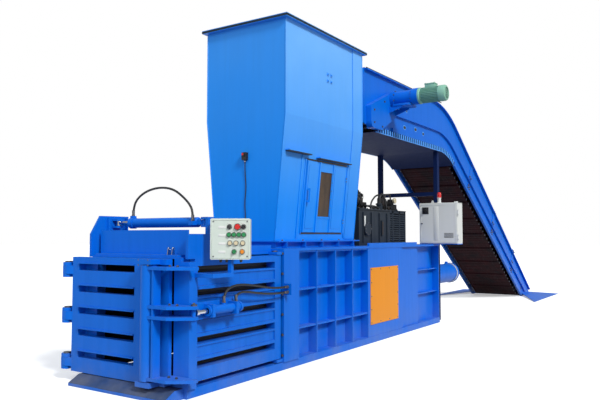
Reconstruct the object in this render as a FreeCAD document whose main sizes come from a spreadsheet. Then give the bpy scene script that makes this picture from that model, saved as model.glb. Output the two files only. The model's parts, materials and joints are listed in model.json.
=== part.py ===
import FreeCAD, Part
import math
import os
import re
import Sketcher

V = FreeCAD.Vector

# Horizontal recycling baler with an apron conveyor that feeds its hopper.
# Frame: +X runs from the bale door to the conveyor's tail, -Y is the operator's side, +Z is up.
# The origin is on the floor, under the middle of the feed opening. Sizes are in millimetres.

SIZES = {
    # press body
    "body_half": 730, "inner_half": 560, "heavy": 40, "rib_thick": 20, "rib_out": 722,
    "x_front": -2800, "x_neck": -1200, "x_press": -880, "x_panel": 1010, "x_step": 2160,
    "x_ribbed": 2860, "x_rear": 3750, "skid_in": 570, "skid_tall": 90,
    "z_floor": 130, "z_roof": 1370, "z_deck": 1400, "z_feed": 1490, "rib_first": -440,
    "rib_pitch": 470, "level_first": 430, "level_pitch": 460,
    # slatted bale chamber and its door
    "slot_tall": 70, "slot_first": 265, "slot_pitch": 230, "wall_in": 595, "wall_out": 720,
    "wall_low": 140, "wall_high": 1326, "wall_front": -2680, "wall_back": -1225,
    "pin_x": -1265, "pin_y": 657, "pin_rad": 25, "play": 0.6, "lip_tall": 12, "lip_out": 16,
    "door_front": -2896, "door_back": -2806, "door_low": 112, "door_high": 1325,
    "door_near": -540, "door_far": 850, "slot_near": -110, "slot_far": 745,
    "hinge_x": -2862, "hinge_y": 960, "hinge_rad": 28, "lug_rad": 62, "lug_tall": 90,
    "hinge_low": 205, "hinge_pitch": 490,
    "lock_x": -2950, "lock_y": -370, "lock_rad": 80, "journal": 40,
    "claw_y": -885, "cyl_y": -835, "cyl_z": 825, "cyl_rad": 45,
    # squeeze cylinder across the chamber
    "arm_front": -2785, "arm_back": -2270, "arm_in": 692, "squeeze_x": -2450,
    "squeeze_z": 1690, "squeeze_rad": 52, "eye_y": 640, "eye_rad": 44, "ear": 24,
    # ram
    "ram_z": 750, "barrel_rad": 200, "bore_rad": 150, "rod_rad": 90, "barrel_front": 2450,
    "barrel_back": 6250, "ram_front": 960, "ram_back": 2250, "ram_gap": 6,
    # hopper
    "hop_front": -1000, "hop_back": 990, "hop_half": 630, "hop_foot": 470, "hop_bend": 3050,
    "hop_top": 4270, "skin": 12, "rim_wide": 55, "rim_tall": 40,
    # conveyor
    "belt_half": 520, "con_half": 630, "con_plate": 16, "con_top": 4050, "con_under": 3215,
    "con_head": 1064, "head_x": 1345, "head_z": 3405, "head_rad": 201, "tail_x": 9720,
    "tail_z": 200, "tail_rad": 150, "belt_thick": 24, "bend_x": 4345, "bend_rad": 2300,
    "foot_x": 10520, "foot_z": 110, "under_x": 4354, "under_rad": 1500, "con_slope": 0.603,
    "con_lean": 1.1677, "chord": 70, "mid_low": 280, "mid_high": 299,
    "guard_end": 2000, "leg_x": 4000, "drive_x": 1850, "drive_z": 3710, "motor_rad": 120,
    # power pack, cabinet and control box
    "pack_front": 1300, "pack_z": 1400, "cab_front": 3500, "cab_near": -1170, "cab_far": -465,
    "cab_low": 1415, "cab_top": 2130, "box_x": -2446, "box_y": -975, "box_z": 1520,
    "box_half": 195, "box_tall": 200, "box_deep": 70, "stem": 10, "button_rad": 19,
}

doc = FreeCAD.newDocument("baler")
sheet = doc.addObject("Spreadsheet::Sheet", "dims")
for row, (alias, size) in enumerate(SIZES.items(), 1):
    sheet.set(f"A{row}", alias)
    sheet.set(f"B{row}", str(size))
    sheet.setAlias(f"B{row}", alias)
doc.recompute()
PARTS = []


# ---------------------------------------------------------------- helpers

def formula(text):
    """The expression with each named size read from the sheet."""
    return re.sub(r"[a-z_]+", lambda m: "dims." + m[0] if m[0] in SIZES else m[0], str(text))


def size(text):
    """The same expression as a number."""
    return float(sheet.evalExpression(formula(text)))


def bind(obj, prop, text):
    obj.setExpression(prop, formula(text))


def part(obj, label):
    obj.Label = label
    PARTS.append(obj)
    return obj


def body(label):
    return part(doc.addObject("PartDesign::Body", label), label)


def box_loop(x0, y0, x1, y1):
    return [(x0, y0), (x1, y0), (x1, y1), (x0, y1)]


def ring(x, y, radius):
    return ("ring", x, y, radius)


def sketch(owner, plane, loops, offset=("0", "0", "0")):
    """A sketch of closed outlines and circles, every point of which is bound to the sheet."""
    sk = owner.newObject("Sketcher::SketchObject", owner.Name + "_sketch")
    face = [f for f in owner.Origin.OriginFeatures if f.Role == plane + "_Plane"][0]
    sk.AttachmentSupport = [(face, "")]
    sk.MapMode = "FlatFace"
    for axis, text in zip("xyz", offset):
        if str(text) != "0":
            bind(sk, f"AttachmentOffset.Base.{axis}", text)
    for loop in loops:
        if loop[0] == "ring":
            add_ring(sk, *loop[1:])
        else:
            add_outline(sk, loop)
    return sk


def add_ring(sk, x, y, radius):
    edge = sk.addGeometry(Part.Circle(V(size(x), size(y), 0), V(0, 0, 1), size(radius)), False)
    rules = (("DistanceX", (-1, 1, edge, 3), x), ("DistanceY", (-1, 1, edge, 3), y),
             ("Radius", (edge,), radius))
    for kind, where, text in rules:
        name = f"c{edge}{kind[-1]}"
        sk.renameConstraint(sk.addConstraint(Sketcher.Constraint(kind, *where, size(text))), name)
        bind(sk, "Constraints." + name, text)


def add_outline(sk, loop):
    """A closed outline: a corner is (x, y), or (x, y, radius) where it is rounded."""
    spots = [V(size(c[0]), size(c[1]), 0) for c in loop]
    arrive, leave, middles = [], [], []
    for i, corner in enumerate(loop):
        back, ahead = (spots[i - 1] - spots[i]), (spots[(i + 1) % len(loop)] - spots[i])
        reach, middle = 0, spots[i]
        if len(corner) == 3:
            half = back.getAngle(ahead) / 2
            radius = size(corner[2])
            reach = radius / math.tan(half)
            inward = (back / back.Length + ahead / ahead.Length).normalize()
            middle = spots[i] + inward * (radius / math.sin(half) - radius)
        arrive.append(spots[i] + back * (reach / back.Length))
        leave.append(spots[i] + ahead * (reach / ahead.Length))
        middles.append(middle)
    lines = [sk.addGeometry(Part.LineSegment(leave[i], arrive[(i + 1) % len(loop)]), False)
             for i in range(len(loop))]
    for i, corner in enumerate(loop):
        before, after = lines[i - 1], lines[i]
        if len(corner) == 3:
            anchor = add_bend(sk, before, after, (arrive[i], middles[i], leave[i]), spots[i], corner[2])
        else:
            sk.addConstraint(Sketcher.Constraint("Coincident", before, 2, after, 1))
            anchor = after
        for kind, text in zip(("DistanceX", "DistanceY"), corner):
            rule = sk.addConstraint(Sketcher.Constraint(kind, -1, 1, anchor, 1, size(text)))
            name = f"p{anchor}{kind[-1]}"
            sk.renameConstraint(rule, name)
            bind(sk, "Constraints." + name, text)


def add_bend(sk, before, after, arc_spots, corner, radius):
    """A tangent arc between two lines, and the point where they would have met."""
    centre = Part.Arc(*arc_spots).toShape().Curve.Center
    angles = [math.atan2(spot.y - centre.y, spot.x - centre.x) for spot in arc_spots]
    forward = math.sin(angles[2] - angles[0]) > 0
    ends = (angles[0], angles[2]) if forward else (angles[2], angles[0])
    round_edge = Part.Circle(centre, V(0, 0, 1), size(radius))
    arc = sk.addGeometry(Part.ArcOfCircle(round_edge, *ends), False)
    start, end = (1, 2) if forward else (2, 1)
    sk.addConstraint(Sketcher.Constraint("Tangent", before, 2, arc, start))
    sk.addConstraint(Sketcher.Constraint("Tangent", arc, end, after, 1))
    name = f"r{arc}"
    sk.renameConstraint(sk.addConstraint(Sketcher.Constraint("Radius", arc, size(radius))), name)
    bind(sk, "Constraints." + name, radius)
    meeting = sk.addGeometry(Part.Point(corner), True)
    for line in (before, after):
        sk.addConstraint(Sketcher.Constraint("PointOnObject", meeting, 1, line))
    return meeting


def pad(owner, plane, loops, low, high, at=("0", "0")):
    """Material between two levels along the plane's own world axis."""
    start = f"-({high})" if plane == "XZ" else low
    feature = owner.newObject("PartDesign::Pad", owner.Name + "_pad")
    feature.Profile = sketch(owner, plane, loops, (*at, start))
    bind(feature, "Length", f"({high}) - ({low})")
    owner.Tip = feature
    return feature


def cut(owner, plane, loops, low, high, at=("0", "0")):
    """A pocket between two levels along the plane's own world axis."""
    start = f"-({low})" if plane == "XZ" else high
    feature = owner.newObject("PartDesign::Pocket", owner.Name + "_pocket")
    feature.Profile = sketch(owner, plane, loops, (*at, start))
    bind(feature, "Length", f"({high}) - ({low})")
    owner.Tip = feature
    return feature


def repeat(owner, feature, axis, pitch, count):
    """The feature again along one axis of its own sketch."""
    doc.recompute()
    pattern = owner.newObject("PartDesign::LinearPattern", owner.Name + "_row")
    pattern.Originals = [feature]
    pattern.Direction = (feature.Profile[0], [axis])
    pattern.Reversed = size(pitch) < 0
    bind(pattern, "Length", f"abs({pitch}) * {count - 1}")
    pattern.Occurrences = count
    owner.Tip = pattern
    return pattern


def turn(owner, plane, loop, offset, axis="H_Axis", groove=False):
    """A turned form: the loop's second number is its radius when the axis is H_Axis."""
    kind = "Groove" if groove else "Revolution"
    feature = owner.newObject("PartDesign::" + kind, owner.Name + "_turn")
    outline = sketch(owner, plane, [loop], offset)
    feature.Profile = outline
    feature.ReferenceAxis = (outline, [axis])
    feature.Angle = 360
    owner.Tip = feature
    return feature


def step_shaft(label, plane, steps, offset, axis="H_Axis", bore=None):
    """A shaft or barrel from its (start, end, radius) steps, with an optional blind bore."""
    owner = body(label)
    loop = [(steps[0][0], "0")]
    for start, end, radius in steps:
        loop += [(start, radius), (end, radius)]
    loop.append((steps[-1][1], "0"))
    if axis == "V_Axis":
        loop = [(radius, along) for along, radius in loop]
    turn(owner, plane, loop, offset, axis)
    if bore:
        start, end, radius = bore
        hole = [(start, "0"), (start, radius), (end, radius), (end, "0")]
        if axis == "V_Axis":
            hole = [(b, a) for a, b in hole]
        turn(owner, plane, hole, offset, axis, groove=True)
    return owner


def block(name, x0, x1, y0, y1, z0, z1):
    """A bar between named limits, for use in a union."""
    obj = doc.addObject("Part::Box", name)
    for prop, low, high in (("Length", x0, x1), ("Width", y0, y1), ("Height", z0, z1)):
        bind(obj, prop, f"({high}) - ({low})")
    for axis, low in zip("xyz", (x0, y0, z0)):
        bind(obj, f"Placement.Base.{axis}", low)
    return obj


TURNS = {"z": FreeCAD.Rotation(), "x": FreeCAD.Rotation(V(0, 1, 0), 90),
         "y": FreeCAD.Rotation(V(1, 0, 0), -90)}


def round_bar(name, axis, radius, length, x, y, z):
    obj = doc.addObject("Part::Cylinder", name)
    obj.Placement.Rotation = TURNS[axis]
    bind(obj, "Radius", radius)
    bind(obj, "Height", length)
    for key, text in zip("xyz", (x, y, z)):
        bind(obj, f"Placement.Base.{key}", text)
    return obj


def union(label, pieces):
    obj = doc.addObject("Part::MultiFuse", label)
    obj.Shapes = pieces
    return part(obj, label)


def hose(label, route, radius):
    """A tube along straight runs that are joined by tangent arcs."""
    spots = [V(*(size(n) for n in spot)) for spot in route]
    edges, start, bends = [], spots[0], []
    for before, here, after in zip(spots, spots[1:], spots[2:]):
        back, ahead = before - here, after - here
        reach = 0.45 * min(back.Length, ahead.Length)
        half = back.getAngle(ahead) / 2
        bends.append(reach * math.tan(half))
        first, last = here + back * (reach / back.Length), here + ahead * (reach / ahead.Length)
        inward = (back / back.Length + ahead / ahead.Length).normalize()
        middle = here + inward * (bends[-1] / math.sin(half) - bends[-1])
        edges += [Part.LineSegment(start, first).toShape(), Part.Arc(first, middle, last).toShape()]
        start = last
    edges.append(Part.LineSegment(start, spots[-1]).toShape())
    path = Part.Wire(edges)
    disc = Part.Wire(Part.makeCircle(size(radius), spots[0], spots[1] - spots[0]))
    tube = path.makePipeShell([disc], True, False)
    share = tube.Volume / (math.pi * size(radius) ** 2 * path.Length)
    print(f"{label}: bends {[round(b) for b in bends]} mm, volume share {share:.4f}")
    return tube


def group(label, shapes):
    """Separate solids that share one node, such as a set of bolts."""
    obj = doc.addObject("Part::Feature", label)
    obj.Shape = Part.makeCompound(shapes)
    return part(obj, label)


# ---------------------------------------------------------------- press body

def sides(low, high, sign):
    """A span of y, measured outwards from the middle, on the far (+) or near (-) side."""
    return (low, high) if sign > 0 else (f"-({high})", f"-({low})")


def base_frame():
    """The ladder of skids and cross members, the floor, and the bulkhead behind the ram."""
    frame = body("base_frame")
    marks = ["-1200", "0", "1200", "2400"]
    stops = ["x_front + 120"] + [f"{m} - 60" for m in marks] + ["x_rear - 120"]
    starts = ["x_front + 120"] + [f"{m} + 60" for m in marks]
    windows = [box_loop(a, "-skid_in", b, "skid_in") for a, b in zip(starts, stops[1:])]
    outer = box_loop("x_front + 10", "-body_half", "x_rear", "body_half")
    pad(frame, "XY", [outer] + windows, "0", "skid_tall")
    pad(frame, "XY", [box_loop("x_front + 10", "-inner_half", "x_rear", "inner_half")],
        "skid_tall", "z_floor")
    bulkhead = box_loop("-inner_half", "z_floor", "inner_half", "z_roof")
    pad(frame, "YZ", [bulkhead, ring("0", "ram_z", "barrel_rad")], "x_rear - heavy", "x_rear")


def press_side(label, sign):
    """One long wall: a heavy plate, a grid of ribs, a boxed panel and the ribbed tail."""
    wall = body(label)
    plate = box_loop("x_press", "skid_tall", "x_rear", "z_roof")
    pad(wall, "XZ", [plate], *sides("inner_half", "inner_half + heavy", sign))
    root = "inner_half + heavy"
    upright = box_loop("rib_first", "skid_tall", "rib_first + rib_thick", "z_roof")
    rib = pad(wall, "XZ", [upright], *sides(root, "rib_out", sign))
    repeat(wall, rib, "H_Axis", "rib_pitch", 4)
    level = box_loop("x_press", "level_first", "x_panel - rib_thick", "level_first + rib_thick")
    rib = pad(wall, "XZ", [level], *sides(root, "rib_out - 8", sign))
    repeat(wall, rib, "V_Axis", "level_pitch", 3)
    face = box_loop("x_panel - rib_thick", "skid_tall", "x_step", "z_roof")
    hollow = box_loop("x_panel", "z_floor", "x_step - rib_thick", "z_roof - heavy")
    pad(wall, "XZ", [face, hollow], *sides(root, "rib_out - rib_thick", sign))
    pad(wall, "XZ", [face], *sides("rib_out - rib_thick", "rib_out", sign))
    cheek = box_loop("x_step", "skid_tall", "x_ribbed", "z_roof")
    inside = box_loop("x_step + 10", "z_floor", "x_ribbed - rib_thick", "z_roof - heavy")
    pad(wall, "XZ", [cheek, inside], *sides(root, "rib_out - 50", sign))
    pad(wall, "XZ", [cheek], *sides("rib_out - 50", "rib_out - 34", sign))
    tail = box_loop("x_ribbed", "level_first + 130", "x_rear", "level_first + 146")
    rib = pad(wall, "XZ", [tail], *sides(root, "rib_out - 34", sign))
    repeat(wall, rib, "V_Axis", "400", 2)
    flange = box_loop("x_rear - rib_thick", "skid_tall", "x_rear", "z_roof")
    pad(wall, "XZ", [flange], *sides(root, "rib_out", sign))


def roof_plate():
    """The deck over the press with its rails, the ring round the feed opening and a shelf."""
    deck = body("roof_plate")
    outer = box_loop("x_press", "-body_half", "x_rear", "body_half")
    feed = box_loop("x_press + 30", "-450", "930", "450")
    pad(deck, "XY", [outer, feed], "z_roof", "z_deck")
    for sign in (1, -1):
        rail = box_loop("hop_back", "z_deck", "2740", "z_deck + 46")
        pad(deck, "XZ", [rail], *sides("body_half - 26", "body_half", sign))
    web = box_loop("hop_front", "-hop_foot - 20", "hop_back", "hop_foot + 20")
    pad(deck, "XY", [web, feed], "z_deck", "z_feed - 16")
    flange = box_loop("hop_front - 40", "-hop_foot - 90", "hop_back + 30", "hop_foot + 90")
    pad(deck, "XY", [flange, feed], "z_feed - 16", "z_feed")
    for sign in (1, -1):
        gusset = box_loop("-870", "z_deck", "-856", "z_feed - 16")
        rib = pad(deck, "XZ", [gusset], *sides("hop_foot + 20", "hop_foot + 90", sign))
        repeat(deck, rib, "H_Axis", "425", 5)
    shelf = box_loop("cab_front", "cab_near", "x_rear", "cab_far")
    pad(deck, "XY", [shelf], "z_deck", "cab_low")


def neck_frame():
    """The twin flanges that join the slatted chamber to the press, with gussets between."""
    neck = body("neck_frame")
    portal = [("-body_half - 18", "skid_tall"), ("-inner_half", "skid_tall"),
              ("-inner_half", "z_roof"), ("inner_half", "z_roof"), ("inner_half", "skid_tall"),
              ("body_half + 18", "skid_tall"), ("body_half + 18", "z_deck"),
              ("-body_half - 18", "z_deck")]
    liner = [(y.replace("body_half + 18", "inner_half + heavy"), z) for y, z in portal]
    pad(neck, "YZ", [liner], "x_neck", "x_press")
    pad(neck, "YZ", [box_loop("-850", "870", "-body_half", "1000")], "x_neck", "x_neck + 24")
    flange = pad(neck, "YZ", [portal], "x_neck", "x_neck + 24")
    repeat(neck, flange, "N_Axis", "x_press - x_neck - 24", 2)
    for sign in (1, -1):
        shelf = box_loop("x_neck", "slot_first + slot_tall", "x_press", "slot_first + slot_tall + 16")
        gusset = pad(neck, "XZ", [shelf], *sides("inner_half + heavy", "body_half - 30", sign))
        repeat(neck, gusset, "V_Axis", "slot_pitch", 5)
        reach = sides("pin_y - 56", "body_half", sign)
        for low, high in (("100", "134"), ("1332", "1366")):
            ear = box_loop("pin_x - 45", reach[0], "x_neck", reach[1])
            pad(neck, "XY", [ear, ring("pin_x", f"{sign} * pin_y", "pin_rad")], low, high)


def cover_panel():
    """The orange cover plate on the boxed panel."""
    cover = body("cover_panel")
    pad(cover, "XZ", [box_loop("1040", "262", "1985", "1085")], "-rib_out - 8", "-rib_out")


# ---------------------------------------------------------------- bale chamber

def chamber_roof():
    """The fixed roof between the squeeze walls, with the tall cross panel at the door end."""
    roof = body("chamber_roof")
    pad(roof, "XY", [box_loop("x_front", "-600", "x_neck", "600")], "1340", "1364")
    face = box_loop("-640", "1340", "640", "1610")
    pad(roof, "YZ", [face], "x_front + 100", "x_front + 118")
    rib = pad(roof, "YZ", [box_loop("-560", "1364", "560", "1440")], "x_front + 500", "x_front + 516")
    repeat(roof, rib, "N_Axis", "330", 4)
    for y in ("-560", "-8", "544"):
        pad(roof, "XZ", [box_loop("x_front + 118", "1364", "x_neck", "1440")], y, f"{y} + 16")


def front_frame():
    """The fixed posts at the door end, with the door's hinge lugs and the lock cylinder's saddles."""
    frame = body("front_frame")
    for sign, out in ((1, "body_half"), (-1, "body_half + 30")):
        post = [(f"{sign} * inner_half", "skid_tall"), (f"{sign} * ({out})", "skid_tall"),
                (f"{sign} * ({out})", "1300"), (f"{sign} * 650", "1300"),
                (f"{sign} * 650", "1340"), (f"{sign} * inner_half", "1340")]
        pad(frame, "YZ", [post], "x_front", "x_front + 110")
    pad(frame, "YZ", [box_loop("-inner_half", "1326", "inner_half", "1340")], "x_front", "x_front + 110")
    sill = [("x_front - 240", "0"), ("x_front + 10", "0"), ("x_front + 10", "98"),
            ("x_front - 110", "98"), ("x_front - 240", "30")]
    pad(frame, "XZ", [sill], "-body_half + 40", "body_half - 30")
    pad(frame, "XZ", [box_loop("x_front + 12", "740", "x_front + 640", "910")],
        "-body_half - 46", "-body_half - 30")
    saddle = box_loop("cyl_y - 58", "cyl_z - 62", "-body_half - 46", "cyl_z + 62")
    hold = pad(frame, "YZ", [saddle, ring("cyl_y", "cyl_z", "cyl_rad")], "x_front + 190", "x_front + 230")
    repeat(frame, hold, "N_Axis", "360", 2)
    for level in range(3):
        middle = f"hinge_low + hinge_pitch * {level}"
        for low, high in ((f"{middle} + lug_tall / 2 + 1", f"{middle} + lug_tall / 2 + 35"),
                          (f"{middle} - lug_tall / 2 - 35", f"{middle} - lug_tall / 2 - 1")):
            arm = [("x_front + 100", "690"), ("x_front + 100", "hinge_y - 70"),
                   ("hinge_x + 18", "hinge_y + lug_rad"), ("hinge_x - 18", "hinge_y + lug_rad"),
                   ("hinge_x - lug_rad", "hinge_y + 18"), ("hinge_x - lug_rad", "hinge_y - 20"),
                   ("hinge_x - 40", "hinge_y - 62"), ("x_front + 5", "hinge_y - 72"),
                   ("x_front + 5", "690")]
            pad(frame, "XY", [arm, ring("hinge_x", "hinge_y", "hinge_rad")], low, high)


def squeeze_wall(label, sign):
    """A slatted side wall that swings in a little to hold the bale back."""
    wall = body(label)
    span = sides("wall_in", "wall_out", sign)
    pad(wall, "XZ", [box_loop("wall_front", "wall_low", "wall_back", "wall_high")], *span)
    gap = box_loop("wall_front + 40", "slot_first", "wall_back - 120", "slot_first + slot_tall")
    slot = cut(wall, "XZ", [gap], *span)
    repeat(wall, slot, "V_Axis", "slot_pitch", 5)
    channel = box_loop("wall_front + 40", "slot_first + slot_tall + 34", "wall_back - 120",
                       "slot_first + slot_pitch - 22")
    web = cut(wall, "XZ", [channel], *sides("wall_out - 14", "wall_out", sign))
    repeat(wall, web, "V_Axis", "slot_pitch", 4)
    cut(wall, "XY", [ring("pin_x", f"{sign} * pin_y", "pin_rad + play")], "wall_low", "wall_high")
    plate_top = "1770" if sign > 0 else "1570"
    arm = [("arm_front", "wall_high"), ("arm_back", "wall_high"), ("arm_back", plate_top),
           ("arm_front + 120", plate_top), ("arm_front", f"{plate_top} - 200 * {int(sign > 0)}")]
    pad(wall, "XZ", [arm], *sides("arm_in", "wall_out", sign))
    ears_at = (("squeeze_z - 25 - 2 - ear", "squeeze_z - 25 - 2"),
               ("squeeze_z + 25 + 2", "squeeze_z + 25 + 2 + ear"))
    tip = f"{sign} * eye_y"
    for low, high in ears_at:
        ear = [("squeeze_x - 55", f"{sign} * arm_in"), ("squeeze_x + 55", f"{sign} * arm_in"),
               ("squeeze_x + 40", f"{sign} * (eye_y - 34)", "24"),
               ("squeeze_x - 40", f"{sign} * (eye_y - 34)", "24")]
        pad(wall, "XY", [ear], low, high)
    pad(wall, "XY", [ring("squeeze_x", tip, "18")], ears_at[0][0], ears_at[1][1])
    if sign < 0:
        stem = box_loop("squeeze_x - 55", "1570", "squeeze_x + 55", "squeeze_z + 25 + 2 + ear")
        pad(wall, "XZ", [stem], *sides("arm_in", "wall_out", sign))
    for shift in ("-130", "130"):
        web = [(f"{sign} * 648", "1460"), (f"{sign} * arm_in", "wall_high + 10"),
               (f"{sign} * arm_in", f"{plate_top} - 20"), (f"{sign} * 660", f"{plate_top} - 20")]
        start = f"squeeze_x + {shift}"
        pad(wall, "YZ", [web], start, f"{start} + 14")
    return wall


def squeeze_cylinder():
    """The cylinder across the chamber: its barrel is pinned to the near arm, its rod to the far."""
    barrel = body("squeeze_barrel")
    at = ("0", "squeeze_z", "squeeze_x")
    back, nose = "-eye_y + 80", "440"
    profile = [(back, "0"), (back, "40"), (f"{back} + 14", "squeeze_rad"),
               (f"{nose} - 60", "squeeze_rad"), (f"{nose} - 60", "squeeze_rad + 9"),
               (nose, "squeeze_rad + 9"), (nose, "31"), ("-400", "31"), ("-400", "0")]
    turn(barrel, "YZ", profile, at)
    eye = box_loop("squeeze_x - 36", "-eye_y + 20", "squeeze_x + 36", f"{back} + 30")
    pad(barrel, "XY", [eye], "squeeze_z - 25", "squeeze_z + 25")
    pad(barrel, "XY", [ring("squeeze_x", "-eye_y", "eye_rad - 12")], "squeeze_z - 25", "squeeze_z + 25")
    cut(barrel, "XY", [ring("squeeze_x", "-eye_y", "18 + play")], "squeeze_z - 25", "squeeze_z + 25")
    pad(barrel, "XY", [box_loop("squeeze_x - 26", "390", "squeeze_x + 26", "434")],
        "squeeze_z + 40", "squeeze_z + 80")
    pad(barrel, "XZ", [box_loop("squeeze_x - 100", "squeeze_z - 30", "squeeze_x - 30", "squeeze_z + 12")],
        "-560", "-500")
    rod = body("squeeze_rod")
    shaft = [("-330", "0"), ("-330", "30.4"), ("-285", "30.4"), ("-285", "24"),
             ("eye_y - 20", "24"), ("eye_y - 20", "0")]
    turn(rod, "YZ", shaft, at)
    pad(rod, "XY", [ring("squeeze_x", "eye_y", "eye_rad - 12")], "squeeze_z - 25", "squeeze_z + 25")
    cut(rod, "XY", [ring("squeeze_x", "eye_y", "18 + play")], "squeeze_z - 25", "squeeze_z + 25")


def upright_pin(x, y, radius, low, high, head, head_tall):
    """A plain pin with a disc head."""
    shank = Part.makeCylinder(size(radius), size(high) - size(low), V(size(x), size(y), size(low)))
    cap = Part.makeCylinder(size(head), head_tall, V(size(x), size(y), size(high)))
    return shank.fuse(cap)


def pins():
    """The plain pins of the side walls and of the bale door's three hinges."""
    wall_pins = [upright_pin("pin_x", f"{s} * pin_y", "pin_rad", "skid_tall", "1366", "36", 12)
                 for s in (-1, 1)]
    low = "hinge_low - lug_tall / 2 - 36"
    high = "hinge_low + lug_tall / 2 + 36"
    door_pins = [upright_pin("hinge_x", "hinge_y", "hinge_rad", f"{low} + hinge_pitch * {k}",
                             f"{high} + hinge_pitch * {k}", "hinge_rad + 12", 12) for k in range(3)]
    group("hinge_pins", wall_pins + door_pins)


def door():
    """The bale door: five wire slots, a recess for the lock shaft and three hinge knuckles."""
    leaf = body("door")
    pad(leaf, "YZ", [box_loop("door_near", "door_low", "door_far", "door_high")], "door_front", "door_back")
    gap = box_loop("slot_near", "slot_first", "slot_far", "slot_first + slot_tall")
    slot = cut(leaf, "YZ", [gap], "door_front", "door_back")
    repeat(leaf, slot, "V_Axis", "slot_pitch", 5)
    shelf = box_loop("slot_near", "slot_first + slot_tall", "slot_far",
                     "slot_first + slot_tall + lip_tall")
    lip = pad(leaf, "YZ", [shelf], "door_front - lip_out", "door_front")
    repeat(leaf, lip, "V_Axis", "slot_pitch", 5)
    cut(leaf, "YZ", [box_loop("door_near", "166", "-240", "1270")], "door_front", "door_front + 50")
    for low, high in (("door_low", "160"), ("1276", "door_high")):
        bearing = box_loop("lock_x - 75", "lock_y - 95", "door_front", "lock_y + 95")
        pad(leaf, "XY", [bearing, ring("lock_x", "lock_y", "journal + play")], low, high)
    for level in range(3):
        middle = f"hinge_low + hinge_pitch * {level}"
        knuckle = [("door_front", "door_far - 10"), ("door_back", "door_far - 10"),
                   ("door_back", "hinge_y + 20"), ("hinge_x + 30", "hinge_y + lug_rad"),
                   ("hinge_x - 24", "hinge_y + lug_rad"), ("hinge_x - lug_rad", "hinge_y + 20"),
                   ("hinge_x - lug_rad", "hinge_y - 40")]
        pad(leaf, "XY", [knuckle, ring("hinge_x", "hinge_y", "hinge_rad + play")],
            f"{middle} - lug_tall / 2", f"{middle} + lug_tall / 2")


def door_lock():
    """The lock shaft with its claws and bar, and the cylinder that turns it."""
    shaft = step_shaft("lock_shaft", "XZ", [("114", "168", "journal"), ("168", "1268", "lock_rad"),
                                            ("1268", "1322", "journal")],
                       ("lock_x", "0", "-lock_y"), axis="V_Axis")
    claw = [("lock_x - 66", "lock_y"), ("lock_x + 40", "lock_y"), ("lock_x + 44", "door_near - 8"),
            ("x_front - 8", "door_near - 8"), ("x_front - 8", "claw_y"),
            ("x_front - 60", "claw_y"), ("lock_x - 66", "-body_half + 60")]
    for low in ("180", "760", "860", "1226"):
        pad(shaft, "XY", [claw], low, f"{low} + 30")
    pad(shaft, "XY", [box_loop("lock_x - 60", "lock_y - 122", "lock_x + 40", "lock_y - 100")],
        "180", "1256")
    pad(shaft, "XY", [ring("x_front - 16", "cyl_y", "18")], "790", "860")
    step_shaft("lock_cylinder", "XZ",
               [("x_front + 168", "x_front + 186", "cyl_rad + 8"),
                ("x_front + 186", "x_front + 640", "cyl_rad"),
                ("x_front + 640", "x_front + 668", "cyl_rad + 8")],
               ("0", "cyl_z", "-cyl_y"), bore=("x_front + 168", "x_front + 630", "30"))
    barrel = PARTS[-1]
    for x in ("x_front + 420", "x_front + 610"):
        pad(barrel, "XY", [ring(x, "cyl_y", "16")], "cyl_z + cyl_rad - 6", "cyl_z + cyl_rad + 17")
    rod = step_shaft("lock_rod", "XZ",
                     [("x_front + 8", "x_front + 40", "30"), ("x_front + 40", "x_front + 560", "21"),
                      ("x_front + 560", "x_front + 600", "29.4")], ("0", "cyl_z", "-cyl_y"))
    return shaft, rod


# ---------------------------------------------------------------- ram

def ram_set():
    """The ram box with its apron plate and rod, and the main cylinder behind the bulkhead."""
    ram = body("ram")
    face = box_loop("-inner_half + ram_gap", "z_floor + ram_gap", "inner_half - ram_gap",
                    "z_roof - ram_gap")
    pad(ram, "YZ", [face], "ram_front", "ram_back")
    hollow = box_loop("-inner_half + ram_gap + 40", "z_floor + ram_gap + 40",
                      "inner_half - ram_gap - 40", "z_roof - ram_gap - 40")
    cut(ram, "YZ", [hollow], "ram_front + 70", "ram_back")
    apron = box_loop("ram_back - 40", "-inner_half + ram_gap", "ram_back + 510",
                     "inner_half - ram_gap")
    pad(ram, "XY", [apron], "z_roof - ram_gap - 14", "z_roof - ram_gap")
    pad(ram, "YZ", [ring("0", "ram_z", "rod_rad + 60")], "ram_front + 70", "ram_front + 170")
    for y in ("-350", "330"):
        web = [("ram_front + 70", "z_floor + ram_gap + 40"), ("ram_front + 500", "z_floor + ram_gap + 40"),
               ("ram_front + 300", "ram_z"), ("ram_front + 500", "z_roof - ram_gap - 40"),
               ("ram_front + 70", "z_roof - ram_gap - 40")]
        pad(ram, "XZ", [web], y, f"{y} + 20")
    at = ("0", "ram_z", "0")
    step_shaft("ram_rod", "XZ", [("ram_front + 170", "5880", "rod_rad"),
                                 ("5880", "6000", "bore_rad - 0.6")], at)
    barrel = body("main_cylinder")
    profile = [("barrel_front", "rod_rad + play"), ("barrel_front", "barrel_rad + 40"),
               ("barrel_front + 110", "barrel_rad + 40"), ("barrel_front + 110", "barrel_rad"),
               ("x_rear", "barrel_rad"), ("x_rear", "barrel_rad + 70"),
               ("x_rear + 50", "barrel_rad + 70"), ("x_rear + 50", "barrel_rad"),
               ("barrel_back - 60", "barrel_rad"), ("barrel_back - 60", "barrel_rad + 18"),
               ("barrel_back", "barrel_rad + 18"), ("barrel_back", "0"),
               ("barrel_back - 80", "0"), ("barrel_back - 80", "bore_rad"),
               ("barrel_front + 110", "bore_rad"), ("barrel_front + 110 - 1", "rod_rad + play")]
    turn(barrel, "XZ", profile, at)
    for x in ("x_rear + 180", "barrel_back - 200"):
        pad(barrel, "XY", [ring(x, "0", "34")], "ram_z + barrel_rad - 20", "ram_z + barrel_rad + 46")


# ---------------------------------------------------------------- hopper

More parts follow.
